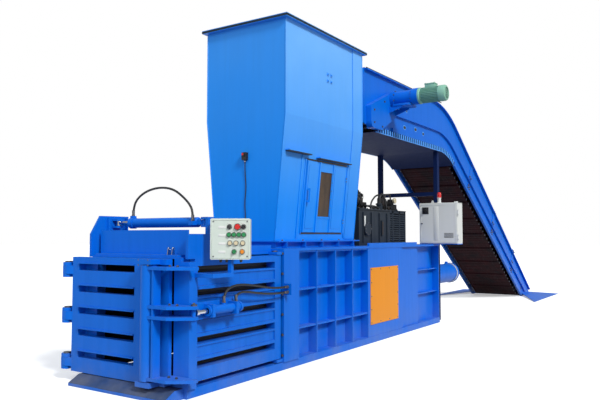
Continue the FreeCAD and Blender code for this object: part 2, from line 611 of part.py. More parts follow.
SLOPE = "((hop_half - hop_foot) / (hop_bend - z_feed))"
LEAN = math.degrees(math.atan(size(SLOPE)))
COS = f"(1 / sqrt(1 + {SLOPE} ^ 2))"
SIN = f"({SLOPE} * {COS})"


def hopper_wall(sign, inset, low, high):
    """The outline of one long wall between two levels, as far inside the skin as asked."""
    def reach(level):
        return f"{sign} * (hop_foot + ({level} - z_feed) * {SLOPE} - ({inset}))"

    outer = [(reach(low), low), (f"{sign} * (hop_half - ({inset}))", "hop_bend")]
    return outer + [(f"{sign} * (hop_half - ({inset}))", high)]


def hopper_skins():
    """The tall feed hopper: four skins, its rim, ledges, the door's lugs and pins."""
    bin_shell = doc.addObject("PartDesign::Body", "hopper_skins")
    for sign in (1, -1):
        skin = hopper_wall(sign, "0", "z_feed", "hop_top") + hopper_wall(sign, "skin", "z_feed", "hop_top")[::-1]
        pad(bin_shell, "YZ", [skin], "hop_front", "hop_back")
    end = hopper_wall(1, "0", "z_feed", "hop_top") + hopper_wall(-1, "0", "z_feed", "hop_top")[::-1]
    throat = box_loop("-hop_half + 30", "con_under + 40", "hop_half - 30", "hop_top - 60")
    pad(bin_shell, "YZ", [end], "hop_front", "hop_front + skin")
    pad(bin_shell, "YZ", [end, throat], "hop_back - skin", "hop_back")
    outer = box_loop("hop_front - rim_wide", "-hop_half - rim_wide", "hop_back + rim_wide",
                     "hop_half + rim_wide")
    inner = box_loop("hop_front + skin", "-hop_half + skin", "hop_back - skin", "hop_half - skin")
    pad(bin_shell, "XY", [outer, inner], "hop_top - rim_tall", "hop_top")
    for x0, x1, level in (("-940", "-420", "2600"), ("-220", "640", "2570")):
        ledge = box_loop(x0, level, x1, f"{level} + 14")
        pad(bin_shell, "XZ", [ledge], "-hop_half - 20", "-575")
    cut(bin_shell, "XZ", [box_loop("-420", "1620", "580", "2500")], "-700", "-400")
    strip = hopper_wall(-1, "-10", "z_feed + 20", "hop_top - rim_tall")
    strip += hopper_wall(-1, "0", "z_feed + 20", "hop_top - rim_tall")[::-1]
    pad(bin_shell, "YZ", [strip], "690", "960")
    return bin_shell


def leaning(obj, x, along, out):
    """Sets a primitive on the sloping near wall: along it from its foot, and out from it."""
    obj.Placement.Rotation = FreeCAD.Rotation(V(1, 0, 0), LEAN) * obj.Placement.Rotation
    bind(obj, "Placement.Base.x", x)
    bind(obj, "Placement.Base.y", f"-hop_foot - ({along}) * {SIN} - ({out}) * {COS}")
    bind(obj, "Placement.Base.z", f"z_feed + ({along}) * {COS} - ({out}) * {SIN}")
    return obj


def leaning_block(name, x0, x1, low, high, inner, outer):
    plate = doc.addObject("Part::Box", name)
    bind(plate, "Length", f"({x1}) - ({x0})")
    bind(plate, "Width", f"({outer}) - ({inner})")
    bind(plate, "Height", f"({high}) - ({low})")
    return leaning(plate, x0, low, outer)


def leaning_bar(name, x, low, high, out, radius):
    bar = doc.addObject("Part::Cylinder", name)
    bind(bar, "Radius", radius)
    bind(bar, "Height", f"({high}) - ({low})")
    return leaning(bar, x, low, out)


def hopper():
    """The hopper, and the inspection door on its sloping wall with window, hinges and handle."""
    skins = hopper_skins()
    leaf = doc.addObject("Part::Cut", "door_blank")
    leaf.Base = leaning_block("door_plate", "-450", "610", "110", "1040", "3", "19")
    leaf.Tool = leaning_block("window_hole", "-110", "190", "320", "920", "0", "30")
    frame_bars = [leaning_block(f"door_bar_{k}", x, f"{x} + 26", "110", "1040", "19", "33")
                  for k, x in enumerate(("-450", "-150", "204", "584"))]
    knuckles, pins, lugs = [], [], []
    for k, low in enumerate(("230", "820")):
        knuckles.append(leaning_bar(f"knuckle_{k}", "630", low, f"{low} + 70", "16", "14"))
        knuckles.append(leaning_block(f"strap_{k}", "560", "630", low, f"{low} + 70", "19", "29"))
        pins.append(leaning_bar(f"hinge_pin_{k}", "630", f"{low} - 31", f"{low} + 101", "16", "7"))
        for end in (f"{low} - 31", f"{low} + 71"):
            lugs.append(leaning_block(f"lug_{len(lugs)}", "620", "645", end, f"{end} + 30", "0", "26"))
    handle = [leaning_block("handle_grip", "-420", "-396", "500", "680", "62", "80")]
    handle += [leaning_block(f"handle_foot_{k}", "-420", "-396", low, f"{low} + 24", "19", "62")
               for k, low in enumerate(("500", "656"))]
    solid_leaf = doc.addObject("Part::MultiFuse", "door_solid")
    solid_leaf.Shapes = [leaf] + frame_bars + knuckles + handle
    bores = doc.addObject("Part::MultiFuse", "door_bores")
    bores.Shapes = [leaning_bar(f"bore_{k}", "630", low, f"{low} + 90", "16", "7.08")
                    for k, low in enumerate(("220", "810"))]
    leaf_cut = doc.addObject("Part::Cut", "hopper_door")
    leaf_cut.Base, leaf_cut.Tool = solid_leaf, bores
    part(leaf_cut, "hopper_door")
    part(leaning_block("sight_window", "-110", "190", "320", "920", "7", "15"), "sight_window")
    union("hopper", [skins] + pins + lugs)


def photo_eye():
    """The level sensor on the hopper's door-side face, with its cable clipped down the skin."""
    eye = body("photo_eye")
    pad(eye, "YZ", [box_loop("-55", "2505", "15", "2600")], "hop_front - 46", "hop_front")
    turn(eye, "XZ", [("hop_front - 60", "0"), ("hop_front - 60", "18"), ("hop_front - 46", "18"),
                     ("hop_front - 46", "0")], ("0", "2565", "20"))
    cable = hose("eye_cable", [("hop_front - 20", "-20", "2505"), ("hop_front - 20", "-20", "2440"),
                               ("hop_front - 8", "-14", "2330"), ("hop_front - 8", "-32", "2150"),
                               ("hop_front - 8", "-8", "1960"), ("hop_front - 8", "-26", "1790"),
                               ("hop_front - 8", "-18", "1640"), ("hop_front - 8", "-22", "z_feed + 0.5")], "6")
    group("eye_cable", [cable])


# ---------------------------------------------------------------- conveyor

def conveyor_side(label, sign):
    """One long side plate with its top lip, its mid flange, its lower chord and two shaft holes."""
    side = body(label)
    toe = "(under_x + con_under / con_slope)"
    outline = [("con_head", "con_top"), ("bend_x", "con_top", "bend_rad"), ("foot_x", "foot_z"),
               ("foot_x - 50", "0"), (toe, "0"), ("under_x", "con_under", "under_rad"),
               ("con_head", "con_under")]
    holes = [ring("head_x", "head_z", "journal + play"), ring("tail_x", "tail_z", "journal + play")]
    pad(side, "XZ", [outline] + holes, *sides("con_half - con_plate", "con_half", sign))
    lip = [("con_head", "con_top"), ("bend_x", "con_top", "bend_rad"), ("foot_x", "foot_z"),
           ("foot_x - 28", "foot_z"), ("bend_x - 5", "con_top - 16", "bend_rad"),
           ("con_head", "con_top - 16")]
    pad(side, "XZ", [lip], *sides("con_half - con_plate", "con_half + 50", sign))
    chord = [("guard_end", "con_under + chord"), ("under_x", "con_under + chord", "under_rad + 60"),
             (f"{toe} + chord / con_slope", "0"), (toe, "0"), ("under_x", "con_under", "under_rad"),
             ("guard_end", "con_under")]
    pad(side, "XZ", [chord], *sides("con_half", "con_half + 26", sign))
    stop = "10000"
    flange = [("guard_end", "con_under + mid_high"), ("under_x", "con_under + mid_high", "under_rad + 256"),
              (stop, f"({toe} - {stop}) * con_slope + mid_high"),
              (stop, f"({toe} - {stop}) * con_slope + mid_low"),
              ("under_x", "con_under + mid_low", "under_rad + 240"), ("guard_end", "con_under + mid_low")]
    pad(side, "XZ", [flange], *sides("con_half", "con_half + 40", sign))


def apron_belt():
    """The endless slatted belt as one closed band round the head and tail wheels."""
    belt = body("apron_belt")

    def band(grow):
        head, tail = f"(head_rad + {grow})", f"(tail_rad + {grow})"
        ahead, aside = f"{tail} * (1 + con_slope) / con_lean", f"{tail} * (1 - con_slope) / con_lean"
        upper = f"tail_x + {ahead} - (head_z + {head} - tail_z - {aside}) / con_slope"
        lower = f"tail_x + {aside} - (head_z - {head} - tail_z + {ahead}) / con_slope"
        return [(f"head_x - {head}", f"head_z + {head}", f"{head} * 0.995"),
                (upper, f"head_z + {head}", f"bend_rad - 400 + {grow}"),
                (f"tail_x + {ahead}", f"tail_z + {aside}", f"{tail} * 0.995"),
                (f"tail_x + {aside}", f"tail_z - {ahead}", f"{tail} * 0.995"),
                (lower, f"head_z - {head}", f"under_rad + 24 - {grow}"),
                (f"head_x - {head}", f"head_z - {head}", f"{head} * 0.995")]

    pad(belt, "XZ", [band("belt_thick"), band("0")], "-belt_half", "belt_half")


def shafts():
    for label, x, z, rad in (("head_shaft", "head_x", "head_z", "head_rad - 6"),
                             ("tail_shaft", "tail_x", "tail_z", "tail_rad - 26")):
        steps = [("-con_half + 1", "-480", "journal"), ("-480", "-430", rad), ("-430", "430", "70"),
                 ("430", "480", rad), ("480", "con_half - 1", "journal")]
        step_shaft(label, "YZ", steps, ("0", z, x))


def conveyor_extras():
    """Cross members, legs, the hood and throat over the head, and the low loading wings."""
    bars = [(1640, 3380), (2700, 3380), (3800, 3380), (4700, 3156), (5700, 2554), (6700, 1951),
            (7700, 1348), (8700, 745)]
    pieces = [block(f"cross_{k}", x, x + 80, "-con_half + con_plate", "con_half - con_plate", z, z + 60)
              for k, (x, z) in enumerate(bars)]
    for sign in (1, -1):
        y0, y1 = sides("belt_half + 20", "con_half - con_plate", sign)
        pieces.append(block(f"leg_{sign + 1}", "leg_x", "leg_x + 100", y0, y1, "0", "3330"))
    for k, low in enumerate(("150", "2300")):
        pieces.append(block(f"leg_tie_{k}", "leg_x", "leg_x + 100", "-belt_half - 20", "belt_half + 20",
                            low, f"{low} + 70"))
    for k, x in enumerate(("9900", "10300")):
        pieces.append(block(f"foot_{k}", x, f"{x} + 120", "-con_half + con_plate",
                            "con_half - con_plate", "0", "40"))
    union("conveyor_frame", pieces)
    hood = body("head_casing")
    side = [("hop_back + rim_wide + 4", "con_top"), ("1880", "con_top"), ("1700", "hop_top - 10", "60"),
            ("hop_back + rim_wide + 4", "hop_top - 10")]
    inner = [("hop_back + rim_wide + 4", "con_top"), ("1864", "con_top"), ("1692", "hop_top - 22", "48"),
             ("hop_back + rim_wide + 4", "hop_top - 22")]
    pad(hood, "XZ", [side], "-con_half", "con_half")
    cut(hood, "XZ", [inner], "-con_half + 12", "con_half - 12")
    for sign in (1, -1):
        cheek = box_loop("hop_back", "con_under", "con_head", "con_top")
        pad(hood, "XZ", [cheek], *sides("con_half - con_plate", "con_half", sign))
    slide = [("hop_back", "con_under"), ("con_head", "con_under"), ("con_head", "con_under + 16"),
             ("hop_back", "con_under + 16")]
    pad(hood, "XZ", [slide], "-con_half", "con_half")
    wings = []
    for sign in (1, -1):
        root = [V(9830, sign * 630, 50), V(10480, sign * 630, 50), V(10480, sign * 630, 60),
                V(9830, sign * 630, 60)]
        tip = [V(8300, sign * 1300, 0), V(10900, sign * 1300, 0), V(10900, sign * 1300, 10),
               V(8300, sign * 1300, 10)]
        wires = [Part.makePolygon([*corners, corners[0]]) for corners in (root, tip)]
        wings.append(Part.makeLoft(wires, True, True))
    group("loading_wings", wings)


def conveyor_drive():
    """The chain guard, reducer, motor and bracket on the operator's side of the head."""
    guard = body("chain_guard")
    loop = [("1100", "3165", "90"), ("1100", "3500", "50"), ("1965", "3870", "70"),
            ("1955", "3435", "60"), ("1460", "3165", "90")]
    pad(guard, "XZ", [loop], "-con_half - 95", "-con_half")
    face = "-con_half - 95"
    step_shaft("reducer", "YZ", [(f"{face} - 455", f"{face} - 350", "motor_rad + 8"),
                                 (f"{face} - 350", f"{face} - 60", "112"), (f"{face} - 60", face, "130")],
               ("0", "drive_z", "drive_x"))
    step_shaft("drive_motor", "YZ", [(f"{face} - 895", f"{face} - 885", "90"),
                                     (f"{face} - 885", f"{face} - 790", "motor_rad + 4"),
                                     (f"{face} - 790", f"{face} - 480", "motor_rad"),
                                     (f"{face} - 480", f"{face} - 455", "motor_rad + 8")],
               ("0", "drive_z", "drive_x"))
    box_seat = PARTS[-1]
    pad(box_seat, "XY", [box_loop("drive_x - 60", f"{face} - 720", "drive_x + 60", f"{face} - 560")],
        "drive_z + 90", "drive_z + 170")


# ---------------------------------------------------------------- power pack and cabinet

def power_pack():
    """The oil tank, motor, pump and valve block on the deck behind the hopper."""
    tank = body("oil_tank")
    pad(tank, "XY", [box_loop("pack_front", "-400", "pack_front + 1100", "350")], "pack_z", "pack_z + 560")
    lid = box_loop("pack_front - 20", "-420", "pack_front + 1120", "370")
    pad(tank, "XY", [lid], "pack_z + 560", "pack_z + 575")
    for y0, y1 in (("-418", "-400"), ("350", "368")):
        stiff = box_loop("pack_front + 120", "pack_z + 40", "pack_front + 134", "pack_z + 520")
        rib = pad(tank, "XZ", [stiff], y0, y1)
        repeat(tank, rib, "H_Axis", "280", 4)
    pad(tank, "XY", [ring("pack_front + 950", "-280", "50")], "pack_z + 575", "pack_z + 660")
    at = ("0", "pack_z + 330", "40")
    step_shaft("pump_motor", "XZ", [("pack_front + 1200", "pack_front + 1600", "175"),
                                    ("pack_front + 1600", "pack_front + 1640", "190"),
                                    ("pack_front + 1640", "pack_front + 1760", "110"),
                                    ("pack_front + 1760", "pack_front + 1940", "80")], at)
    motor = PARTS[-1]
    for x in ("pack_front + 1240", "pack_front + 1520"):
        pad(motor, "YZ", [box_loop("-190", "pack_z", "110", "pack_z + 230")], x, f"{x} + 40")
    blocks = doc.addObject("PartDesign::Body", "valve_bank")
    top = "pack_z + 575"
    pad(blocks, "XY", [box_loop("pack_front + 260", "-160", "pack_front + 720", "120")], top, f"{top} + 130")
    tower = box_loop("pack_front + 290", "-120", "pack_front + 370", "80")
    rib = pad(blocks, "XY", [tower], f"{top} + 130", f"{top} + 210")
    repeat(blocks, rib, "H_Axis", "105", 4)
    coils = [round_bar(f"coil_{k}_{n}", "z", "30", "120", f"pack_front + 330 + 105 * {k}", y, f"{top} + 210")
             for k in range(4) for n, y in enumerate(("-75", "35"))]
    union("valve_block", [blocks] + coils)


def cabinet():
    """The electric cabinet at the tail of the deck, with its door, switch and red beacon."""
    case = body("cabinet")
    pad(case, "YZ", [box_loop("cab_near", "cab_low", "cab_far", "cab_top")], "cab_front", "x_rear")
    hollow = box_loop("cab_near + 20", "cab_low + 20", "cab_far - 20", "cab_top - 20")
    cut(case, "YZ", [hollow], "cab_front", "x_rear - 20")
    for low in ("cab_low + 80", "cab_top - 200"):
        for shift in ("-22", "61"):
            start = f"{low} + {shift}"
            lug = box_loop("cab_front - 14", "cab_near - 26", "cab_front + 20", "cab_near")
            pad(case, "XY", [lug], start, f"{start} + 20")
        pad(case, "XY", [ring("cab_front - 8", "cab_near - 14", "5")], f"{low} - 2", f"{low} + 61")
    leaf = body("cabinet_door")
    sheet_loop = box_loop("cab_near + 6", "cab_low + 6", "cab_far - 6", "cab_top - 6")
    pad(leaf, "YZ", [sheet_loop], "cab_front - 16", "cab_front - 2")
    for low in ("cab_low + 80", "cab_top - 200"):
        strap = box_loop("cab_front - 18", "cab_near - 14", "cab_front - 12", "cab_near + 30")
        pad(leaf, "XY", [strap], low, f"{low} + 59")
        knuckle = [ring("cab_front - 8", "cab_near - 14", "11")]
        pad(leaf, "XY", knuckle, low, f"{low} + 59")
        cut(leaf, "XY", [ring("cab_front - 8", "cab_near - 14", "5.08")], low, f"{low} + 59")
    cut(leaf, "YZ", [ring("cab_far - 120", "cab_top - 130", "9")], "cab_front - 16", "cab_front - 2")
    knob = body("main_switch")
    turn(knob, "XZ", [("cab_front - 40", "0"), ("cab_front - 40", "26"), ("cab_front - 18", "30"),
                      ("cab_front - 18", "8.4"), ("cab_front + 6", "8.4"), ("cab_front + 6", "0")],
         ("0", "cab_top - 130", "-cab_far + 120"))
    pad(knob, "YZ", [box_loop("cab_far - 128", "cab_top - 165", "cab_far - 112", "cab_top - 95")],
        "cab_front - 56", "cab_front - 38")
    lamp = body("beacon")
    middle = "(cab_near + cab_far) / 2"
    turn(lamp, "YZ", [("0", "0"), ("48", "0"), ("48", "18"), ("36", "24"), ("36", "150"), ("30", "190"),
                      ("0", "200")], (middle, "cab_top", "cab_front + 60"), axis="V_Axis")


def control_box():
    """The push-button box on its arm, turned towards the operator."""
    yaw = FreeCAD.Rotation(V(0, 0, 1), -56.7)

    def seat(obj):
        obj.Placement.Rotation = yaw
        for key in "xyz":
            bind(obj, f"Placement.Base.{key}", f"box_{key}")

    case = body("control_box")
    outer = box_loop("-box_half", "-box_tall", "box_half", "box_tall")
    pad(case, "XZ", [[(*c, "14") for c in outer]], "-box_deep", "box_deep")
    inner = box_loop("-box_half + 5", "-box_tall + 5", "box_half - 5", "box_tall - 5")
    cut(case, "XZ", [inner], "-box_deep + 5", "box_deep - 5")
    rows = {"top": ("118", (70, 129)), "green": ("41", (-12, 36, 84, 132)),
            "beige": ("-41", (-3, 57, 122)), "knob": ("-124", (117, 39))}
    spots = [(str(x), z) for z, places in rows.values() for x in places]
    cut(case, "XZ", [ring(x, z, "stem + play") for x, z in spots], "-box_deep", "-box_deep + 5")
    pad(case, "XZ", [ring("-8", "118", "button_rad")], "-box_deep - 16", "-box_deep")
    seat(case)
    names = ["estop", "black_selector"] + [f"green_button_{k}" for k in range(1, 5)]
    names += [f"beige_button_{k}" for k in range(1, 4)] + ["amber_knob", "green_knob"]
    for name, (x, z) in zip(names, spots):
        cap = body(name)
        wide = "button_rad + 8" if name == "estop" else "button_rad"
        turn(cap, "YZ", [("-box_deep - 26", "0"), ("-box_deep - 26", f"{wide} - 3"),
                         ("-box_deep - 23", wide), ("-box_deep - 9", wide), ("-box_deep - 9", "stem"),
                         ("-box_deep + 30", "stem"), ("-box_deep + 30", "0")], ("0", z, x))
        if "knob" in name or "selector" in name:
            grip = box_loop(f"{x} - 5", f"{z} - 17", f"{x} + 5", f"{z} + 17")
            pad(cap, "XZ", [grip], "-box_deep - 40", "-box_deep - 24")
        seat(cap)
    arm = [block("arm_out", "-2730", "-2690", "box_y - 20", "-body_half - 30", "1150", "1190"),
           block("arm_along", "-2690", "box_x + 20", "box_y - 20", "box_y + 20", "1150", "1190"),
           block("arm_up", "box_x - 20", "box_x + 20", "box_y - 20", "box_y + 20", "1190", "box_z - box_tall")]
    union("box_arm", arm)


# ---------------------------------------------------------------- hoses

def hoses():
    """The hose over the cross cylinder, and the two that feed the lock cylinder."""
    top, near = "squeeze_z + 80", "squeeze_z + 12"
    over = hose("squeeze_hose", [("squeeze_x", "412", top), ("squeeze_x", "412", f"{top} + 85"),
                                 ("squeeze_x - 6", "350", f"{top} + 190"),
                                 ("squeeze_x - 12", "190", f"{top} + 270"),
                                 ("squeeze_x - 20", "-20", f"{top} + 300"),
                                 ("squeeze_x - 34", "-230", f"{top} + 270"),
                                 ("squeeze_x - 50", "-400", f"{top} + 170"),
                                 ("squeeze_x - 62", "-505", f"{top} + 80"),
                                 ("squeeze_x - 65", "-530", f"{near} + 70"),
                                 ("squeeze_x - 65", "-530", near)], "12")
    group("squeeze_hose", [over])
    port = "cyl_z + cyl_rad + 17"
    first = hose("lock hose 1", [("-2380", "cyl_y", port), ("-2380", "cyl_y", "965"),
                                 ("-2290", "-835", "1035"), ("-2090", "-832", "1050"),
                                 ("-1830", "-826", "1015"), ("-1560", "-815", "972"),
                                 ("-1330", "-802", "960"), ("x_neck - 0.6", "-800", "962")], "12")
    second = hose("lock hose 2", [("-2190", "cyl_y", port), ("-2190", "cyl_y", "935"),
                                  ("-2120", "-838", "972"), ("-1980", "-836", "962"),
                                  ("-1730", "-826", "925"), ("-1470", "-812", "905"),
                                  ("-1290", "-802", "900"), ("x_neck - 0.6", "-800", "902")], "12")
    group("fixed_hoses", [first, second])


# ---------------------------------------------------------------- build, check and write

def write_all():
    doc.recompute()
    faults = [f"{o.Label}: {o.State}" for o in doc.Objects
              if "Invalid" in o.State or "Error" in o.State]
    for obj in PARTS:
        if obj.Shape.isNull() or not obj.Shape.isValid() or not obj.Shape.Solids:
            faults.append(f"{obj.Label}: its shape is not sound")
    if faults:
        raise SystemExit("\n".join(faults))
    os.makedirs("parts", exist_ok=True)
    for obj in PARTS:
        obj.Shape.exportStep(f"parts/{obj.Label}.step")
        print(f"{obj.Label}: {len(obj.Shape.Solids)} solids, {obj.Shape.Volume / 1e6:.1f} litres")


base_frame()
press_side("near_side", -1)
press_side("far_side", 1)
roof_plate()
neck_frame()
cover_panel()
chamber_roof()
front_frame()
squeeze_wall("near_wall", -1)
squeeze_wall("far_wall", 1)
squeeze_cylinder()
pins()
door()
door_lock()
ram_set()
hopper()
photo_eye()
conveyor_side("conveyor_near", -1)
conveyor_side("conveyor_far", 1)
apron_belt()
shafts()
conveyor_extras()
conveyor_drive()
power_pack()
cabinet()
control_box()
hoses()
write_all()
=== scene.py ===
"""Looks of a horizontal recycling baler: paint, hoses, belt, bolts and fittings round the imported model."""

import json
import math
from itertools import product

import bmesh
import bpy
from mathutils import Matrix, Vector


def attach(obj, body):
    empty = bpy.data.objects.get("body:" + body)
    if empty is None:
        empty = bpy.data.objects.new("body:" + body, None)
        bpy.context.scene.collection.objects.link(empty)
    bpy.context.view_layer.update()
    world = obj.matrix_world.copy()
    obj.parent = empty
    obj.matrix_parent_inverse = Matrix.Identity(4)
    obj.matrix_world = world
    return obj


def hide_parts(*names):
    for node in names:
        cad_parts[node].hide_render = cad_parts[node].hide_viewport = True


bl_info = {
    "name": "Recycling Baler Looks",
    "version": (1, 0, 0),
    "blender": (4, 5, 0),
    "location": "View3D > Sidebar > Baler",
    "description": "Paint, hoses, belt slats, bolts and fittings of a horizontal recycling baler",
    "category": "Object",
}

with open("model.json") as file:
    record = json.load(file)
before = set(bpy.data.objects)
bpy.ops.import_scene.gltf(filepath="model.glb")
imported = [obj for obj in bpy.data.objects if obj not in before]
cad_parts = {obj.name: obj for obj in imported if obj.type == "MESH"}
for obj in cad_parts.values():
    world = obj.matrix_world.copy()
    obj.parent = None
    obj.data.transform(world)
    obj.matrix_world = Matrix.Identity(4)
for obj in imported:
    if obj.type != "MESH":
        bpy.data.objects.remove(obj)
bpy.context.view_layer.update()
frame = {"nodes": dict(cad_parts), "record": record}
NODES = frame["nodes"]

# Directions: X runs from the bale door to the conveyor's foot, Y to the far side, Z up.
FRONT, REAR, NEAR, FAR, DOWN, UP = (-1, 0, 0), (1, 0, 0), (0, -1, 0), (0, 1, 0), (0, 0, -1), (0, 0, 1)
X, Y, Z = 0, 1, 2
BOTH = (-1, 1)


def linear(red, green, blue):
    """Screen values from 0 to 255 as the linear colour that shaders work in."""
    return tuple(v / 255 / 12.92 if v <= 10 else ((v / 255 + 0.055) / 1.055) ** 2.4
                 for v in (red, green, blue))


# --- settings


def colour(name, description, *screen):
    return bpy.props.FloatVectorProperty(name=name, description=description, default=linear(*screen),
                                         subtype="COLOR", min=0, max=1)


def length(name, description, metres):
    return bpy.props.FloatProperty(name=name, description=description, default=metres, unit="LENGTH", min=0)


def share(name, description, value):
    return bpy.props.FloatProperty(name=name, description=description, default=value, subtype="FACTOR",
                                   min=0, max=1)


class BalerPaint(bpy.types.PropertyGroup):
    """Colours of the paints and how worn they are."""

    body: colour("Body", "Paint of the press body, frames and conveyor", 2, 104, 212)
    hopper: colour("Hopper", "Paint of the hopper's sheets", 6, 134, 236)
    cover: colour("Cover", "Paint of the cover plate on the side", 226, 140, 12)
    motor: colour("Motor", "Enamel of the conveyor's motor", 134, 184, 162)
    pack: colour("Power pack", "Paint of the oil tank and pump motor", 38, 46, 56)
    cabinet: colour("Cabinet", "Powder coat of the electric cabinet", 214, 216, 212)
    box: colour("Control box", "Plastic of the push-button box", 196, 206, 196)
    wear: share("Edge wear", "How much bare metal shows along edges", 0.35)
    dust: share("Dust", "How much dust lies on the lower parts", 0.3)
    # painted light: how much lighter the hopper's top and near side are painted
    fade: share("Painted sheen", "How much lighter the hopper's top and near side are painted", 0.5)


class BalerSizes(bpy.types.PropertyGroup):
    """Sizes of the pieces that dress the model."""

    hose: length("Hose", "Outer diameter of the hydraulic hoses", 0.024)
    cable: length("Cable", "Outer diameter of the photo-eye's cable", 0.012)
    slat: length("Slat pitch", "Distance from one belt slat to the next", 0.16)
    bolt: length("Bolt", "Width across the flats of a common bolt head", 0.03)
    bead: length("Weld", "Width of a weld bead", 0.012)


def settings():
    """The paint and size settings of this file."""
    scene = bpy.context.scene
    return scene.baler_paint, scene.baler_sizes


# --- shader groups


MIX_FIRST, MIX_SECOND, MIX_RESULT = 6, 7, 2  # a Mix node's colour sockets


class Tree:
    """A node tree that is written one node at a time."""

    def __init__(self, tree):
        self.tree = tree

    def feed(self, node, inputs):
        """Link a node's inputs, or set those that are plain values."""
        for key, value in dict(inputs).items():
            if isinstance(value, bpy.types.NodeSocket):
                self.tree.links.new(value, node.inputs[key])
            else:
                node.inputs[key].default_value = value
        return node

    def add(self, kind, inputs=(), **values):
        node = self.tree.nodes.new("ShaderNode" + kind)
        for key, value in values.items():
            setattr(node, key, value)
        return self.feed(node, inputs)

    def math(self, operation, first, second=0.0, clamp=False):
        return self.add("Math", {0: first, 1: second}, operation=operation, use_clamp=clamp).outputs[0]

    def times(self, first, second, clamp=False):
        return self.math("MULTIPLY", first, second, clamp)

    def ramp(self, value, low, high, start=0.0, end=1.0):
        return self.add("MapRange", {"Value": value, "From Min": low, "From Max": high,
                                     "To Min": start, "To Max": end}).outputs["Result"]

    def mix(self, portion, first, second):
        """The first colour, with a portion of the second over it."""
        ends = {key: value if isinstance(value, bpy.types.NodeSocket) else (*value, 1)
                for key, value in ((MIX_FIRST, first), (MIX_SECOND, second))}
        return self.add("Mix", {"Factor": portion, **ends}, data_type="RGBA").outputs[MIX_RESULT]

    def noise(self, spot, scale, detail=3.0, roughness=0.5):
        return self.add("TexNoise", {"Vector": spot, "Scale": scale, "Detail": detail,
                                     "Roughness": roughness}).outputs["Fac"]

    def stretched(self, spot, scales):
        return self.add("Mapping", {"Vector": spot, "Scale": scales}).outputs[0]

    def place(self):
        """Where on the object this is, in metres."""
        return self.add("TexCoord").outputs["Object"]

    def facing(self):
        """Which way the flat surface faces."""
        return self.add("NewGeometry").outputs["Normal"]

    def one_of(self, vector, axis):
        return self.add("SeparateXYZ", {0: vector}).outputs[axis]


def shader_group(name, inputs, output, build):
    """A named group of shader nodes with one output, made once and reused."""
    group = bpy.data.node_groups.get(name)
    if group:
        return group
    group = bpy.data.node_groups.new(name, "ShaderNodeTree")
    for label, value in inputs.items():
        socket = group.interface.new_socket(label, in_out="INPUT", socket_type="NodeSocketFloat")
        socket.default_value = value
    group.interface.new_socket(output, in_out="OUTPUT", socket_type="NodeSocketFloat")
    source = group.nodes.new("NodeGroupInput")
    sink = group.nodes.new("NodeGroupOutput")
    group.links.new(build(Tree(group), source.outputs), sink.inputs[output])
    return group


def edge_mask():
    """Mask of the outer edges, broken up by noise: where paint rubs off first."""

    def build(tree, given):
        rounded = tree.add("Bevel", {"Radius": given["Width"]}, samples=4).outputs[0]
        along = tree.add("VectorMath", {0: rounded, 1: tree.facing()}, operation="DOT_PRODUCT")
        edge = tree.ramp(along.outputs["Value"], 0.995, 0.9)
        patches = tree.ramp(tree.noise(tree.place(), given["Patches"], 4, 0.65), 0.42, 0.66)
        return tree.times(tree.times(edge, patches), given["Amount"], True)

    return shader_group("Edge Wear", {"Width": 0.008, "Patches": 3.0, "Amount": 0.5}, "Mask", build)


def dust_mask():
    """Mask of dust: thick near the floor, and a film on what faces up."""

    def build(tree, given):
        place = tree.place()
        low = tree.ramp(tree.one_of(place, Z), given["Reach"], 0.0)
        film = tree.ramp(tree.one_of(tree.facing(), Z), 0.5, 1.0, 0.0, 0.5)
        cloud = tree.ramp(tree.noise(place, 2.3, 6, 0.6), 0.35, 0.7)
        both = tree.math("ADD", tree.times(low, low), film, True)
        return tree.times(tree.times(both, cloud), given["Amount"], True)

    return shader_group("Floor Dust", {"Reach": 0.7, "Amount": 0.3}, "Mask", build)


def painted_sheen_mask():
    """Mask of painted light: a lighter sheen high up, most on the near side, which faces the light."""

    def build(tree, given):
        place = tree.place()
        high = tree.ramp(tree.one_of(place, Z), given["From Height"], given["To Height"])
        # the near side is painted lighter, as if it caught more light
        sunny = tree.ramp(tree.one_of(tree.facing(), Y), -0.9, -0.2, 1.0, 0.25)
        cloud = tree.ramp(tree.noise(place, 1.1, 4, 0.5), 0.3, 0.7, 0.75, 1.0)
        return tree.times(tree.times(tree.times(high, sunny), cloud), given["Amount"], True)

    return shader_group("Painted Sheen", {"From Height": 1.9, "To Height": 4.3, "Amount": 0.0}, "Mask", build)


def grime_shade():
    """Shade of rain streaks and broad cloudy soiling, from 0 dark to 1 clean."""

    def build(tree, given):
        place = tree.place()
        streaks = tree.noise(tree.stretched(place, (5.0, 5.0, 0.35)), 2.6, 4, 0.6)
        clouds = tree.noise(place, 0.9, 3, 0.55)
        dark = tree.math("ADD", tree.ramp(streaks, 0.3, 0.62, 0.6, 0.0),
                         tree.ramp(clouds, 0.3, 0.6, 0.5, 0.0))
        return tree.math("SUBTRACT", 1.0, tree.times(dark, given["Amount"]), True)

    return shader_group("Grime", {"Amount": 0.25}, "Shade", build)


def sprayed_height():
    """Fine bumps of sprayed paint over rolled plate, with a slow waviness."""

    def build(tree, given):
        place = tree.place()
        peel = tree.noise(place, given["Fineness"], 2, 0.5)
        wave = tree.noise(place, 1.7, 2, 0.4)
        return tree.math("ADD", tree.times(peel, 0.25), wave)

    return shader_group("Sprayed Surface", {"Fineness": 90.0}, "Height", build)


# --- materials


PRIMER = (0.05, 0.045, 0.045)
DUST, RUST, PAINTED_SHEEN = linear(150, 146, 136), linear(96, 58, 40), linear(165, 222, 255)


def deeper(tone, portion):
    return tuple(portion * c for c in tone)


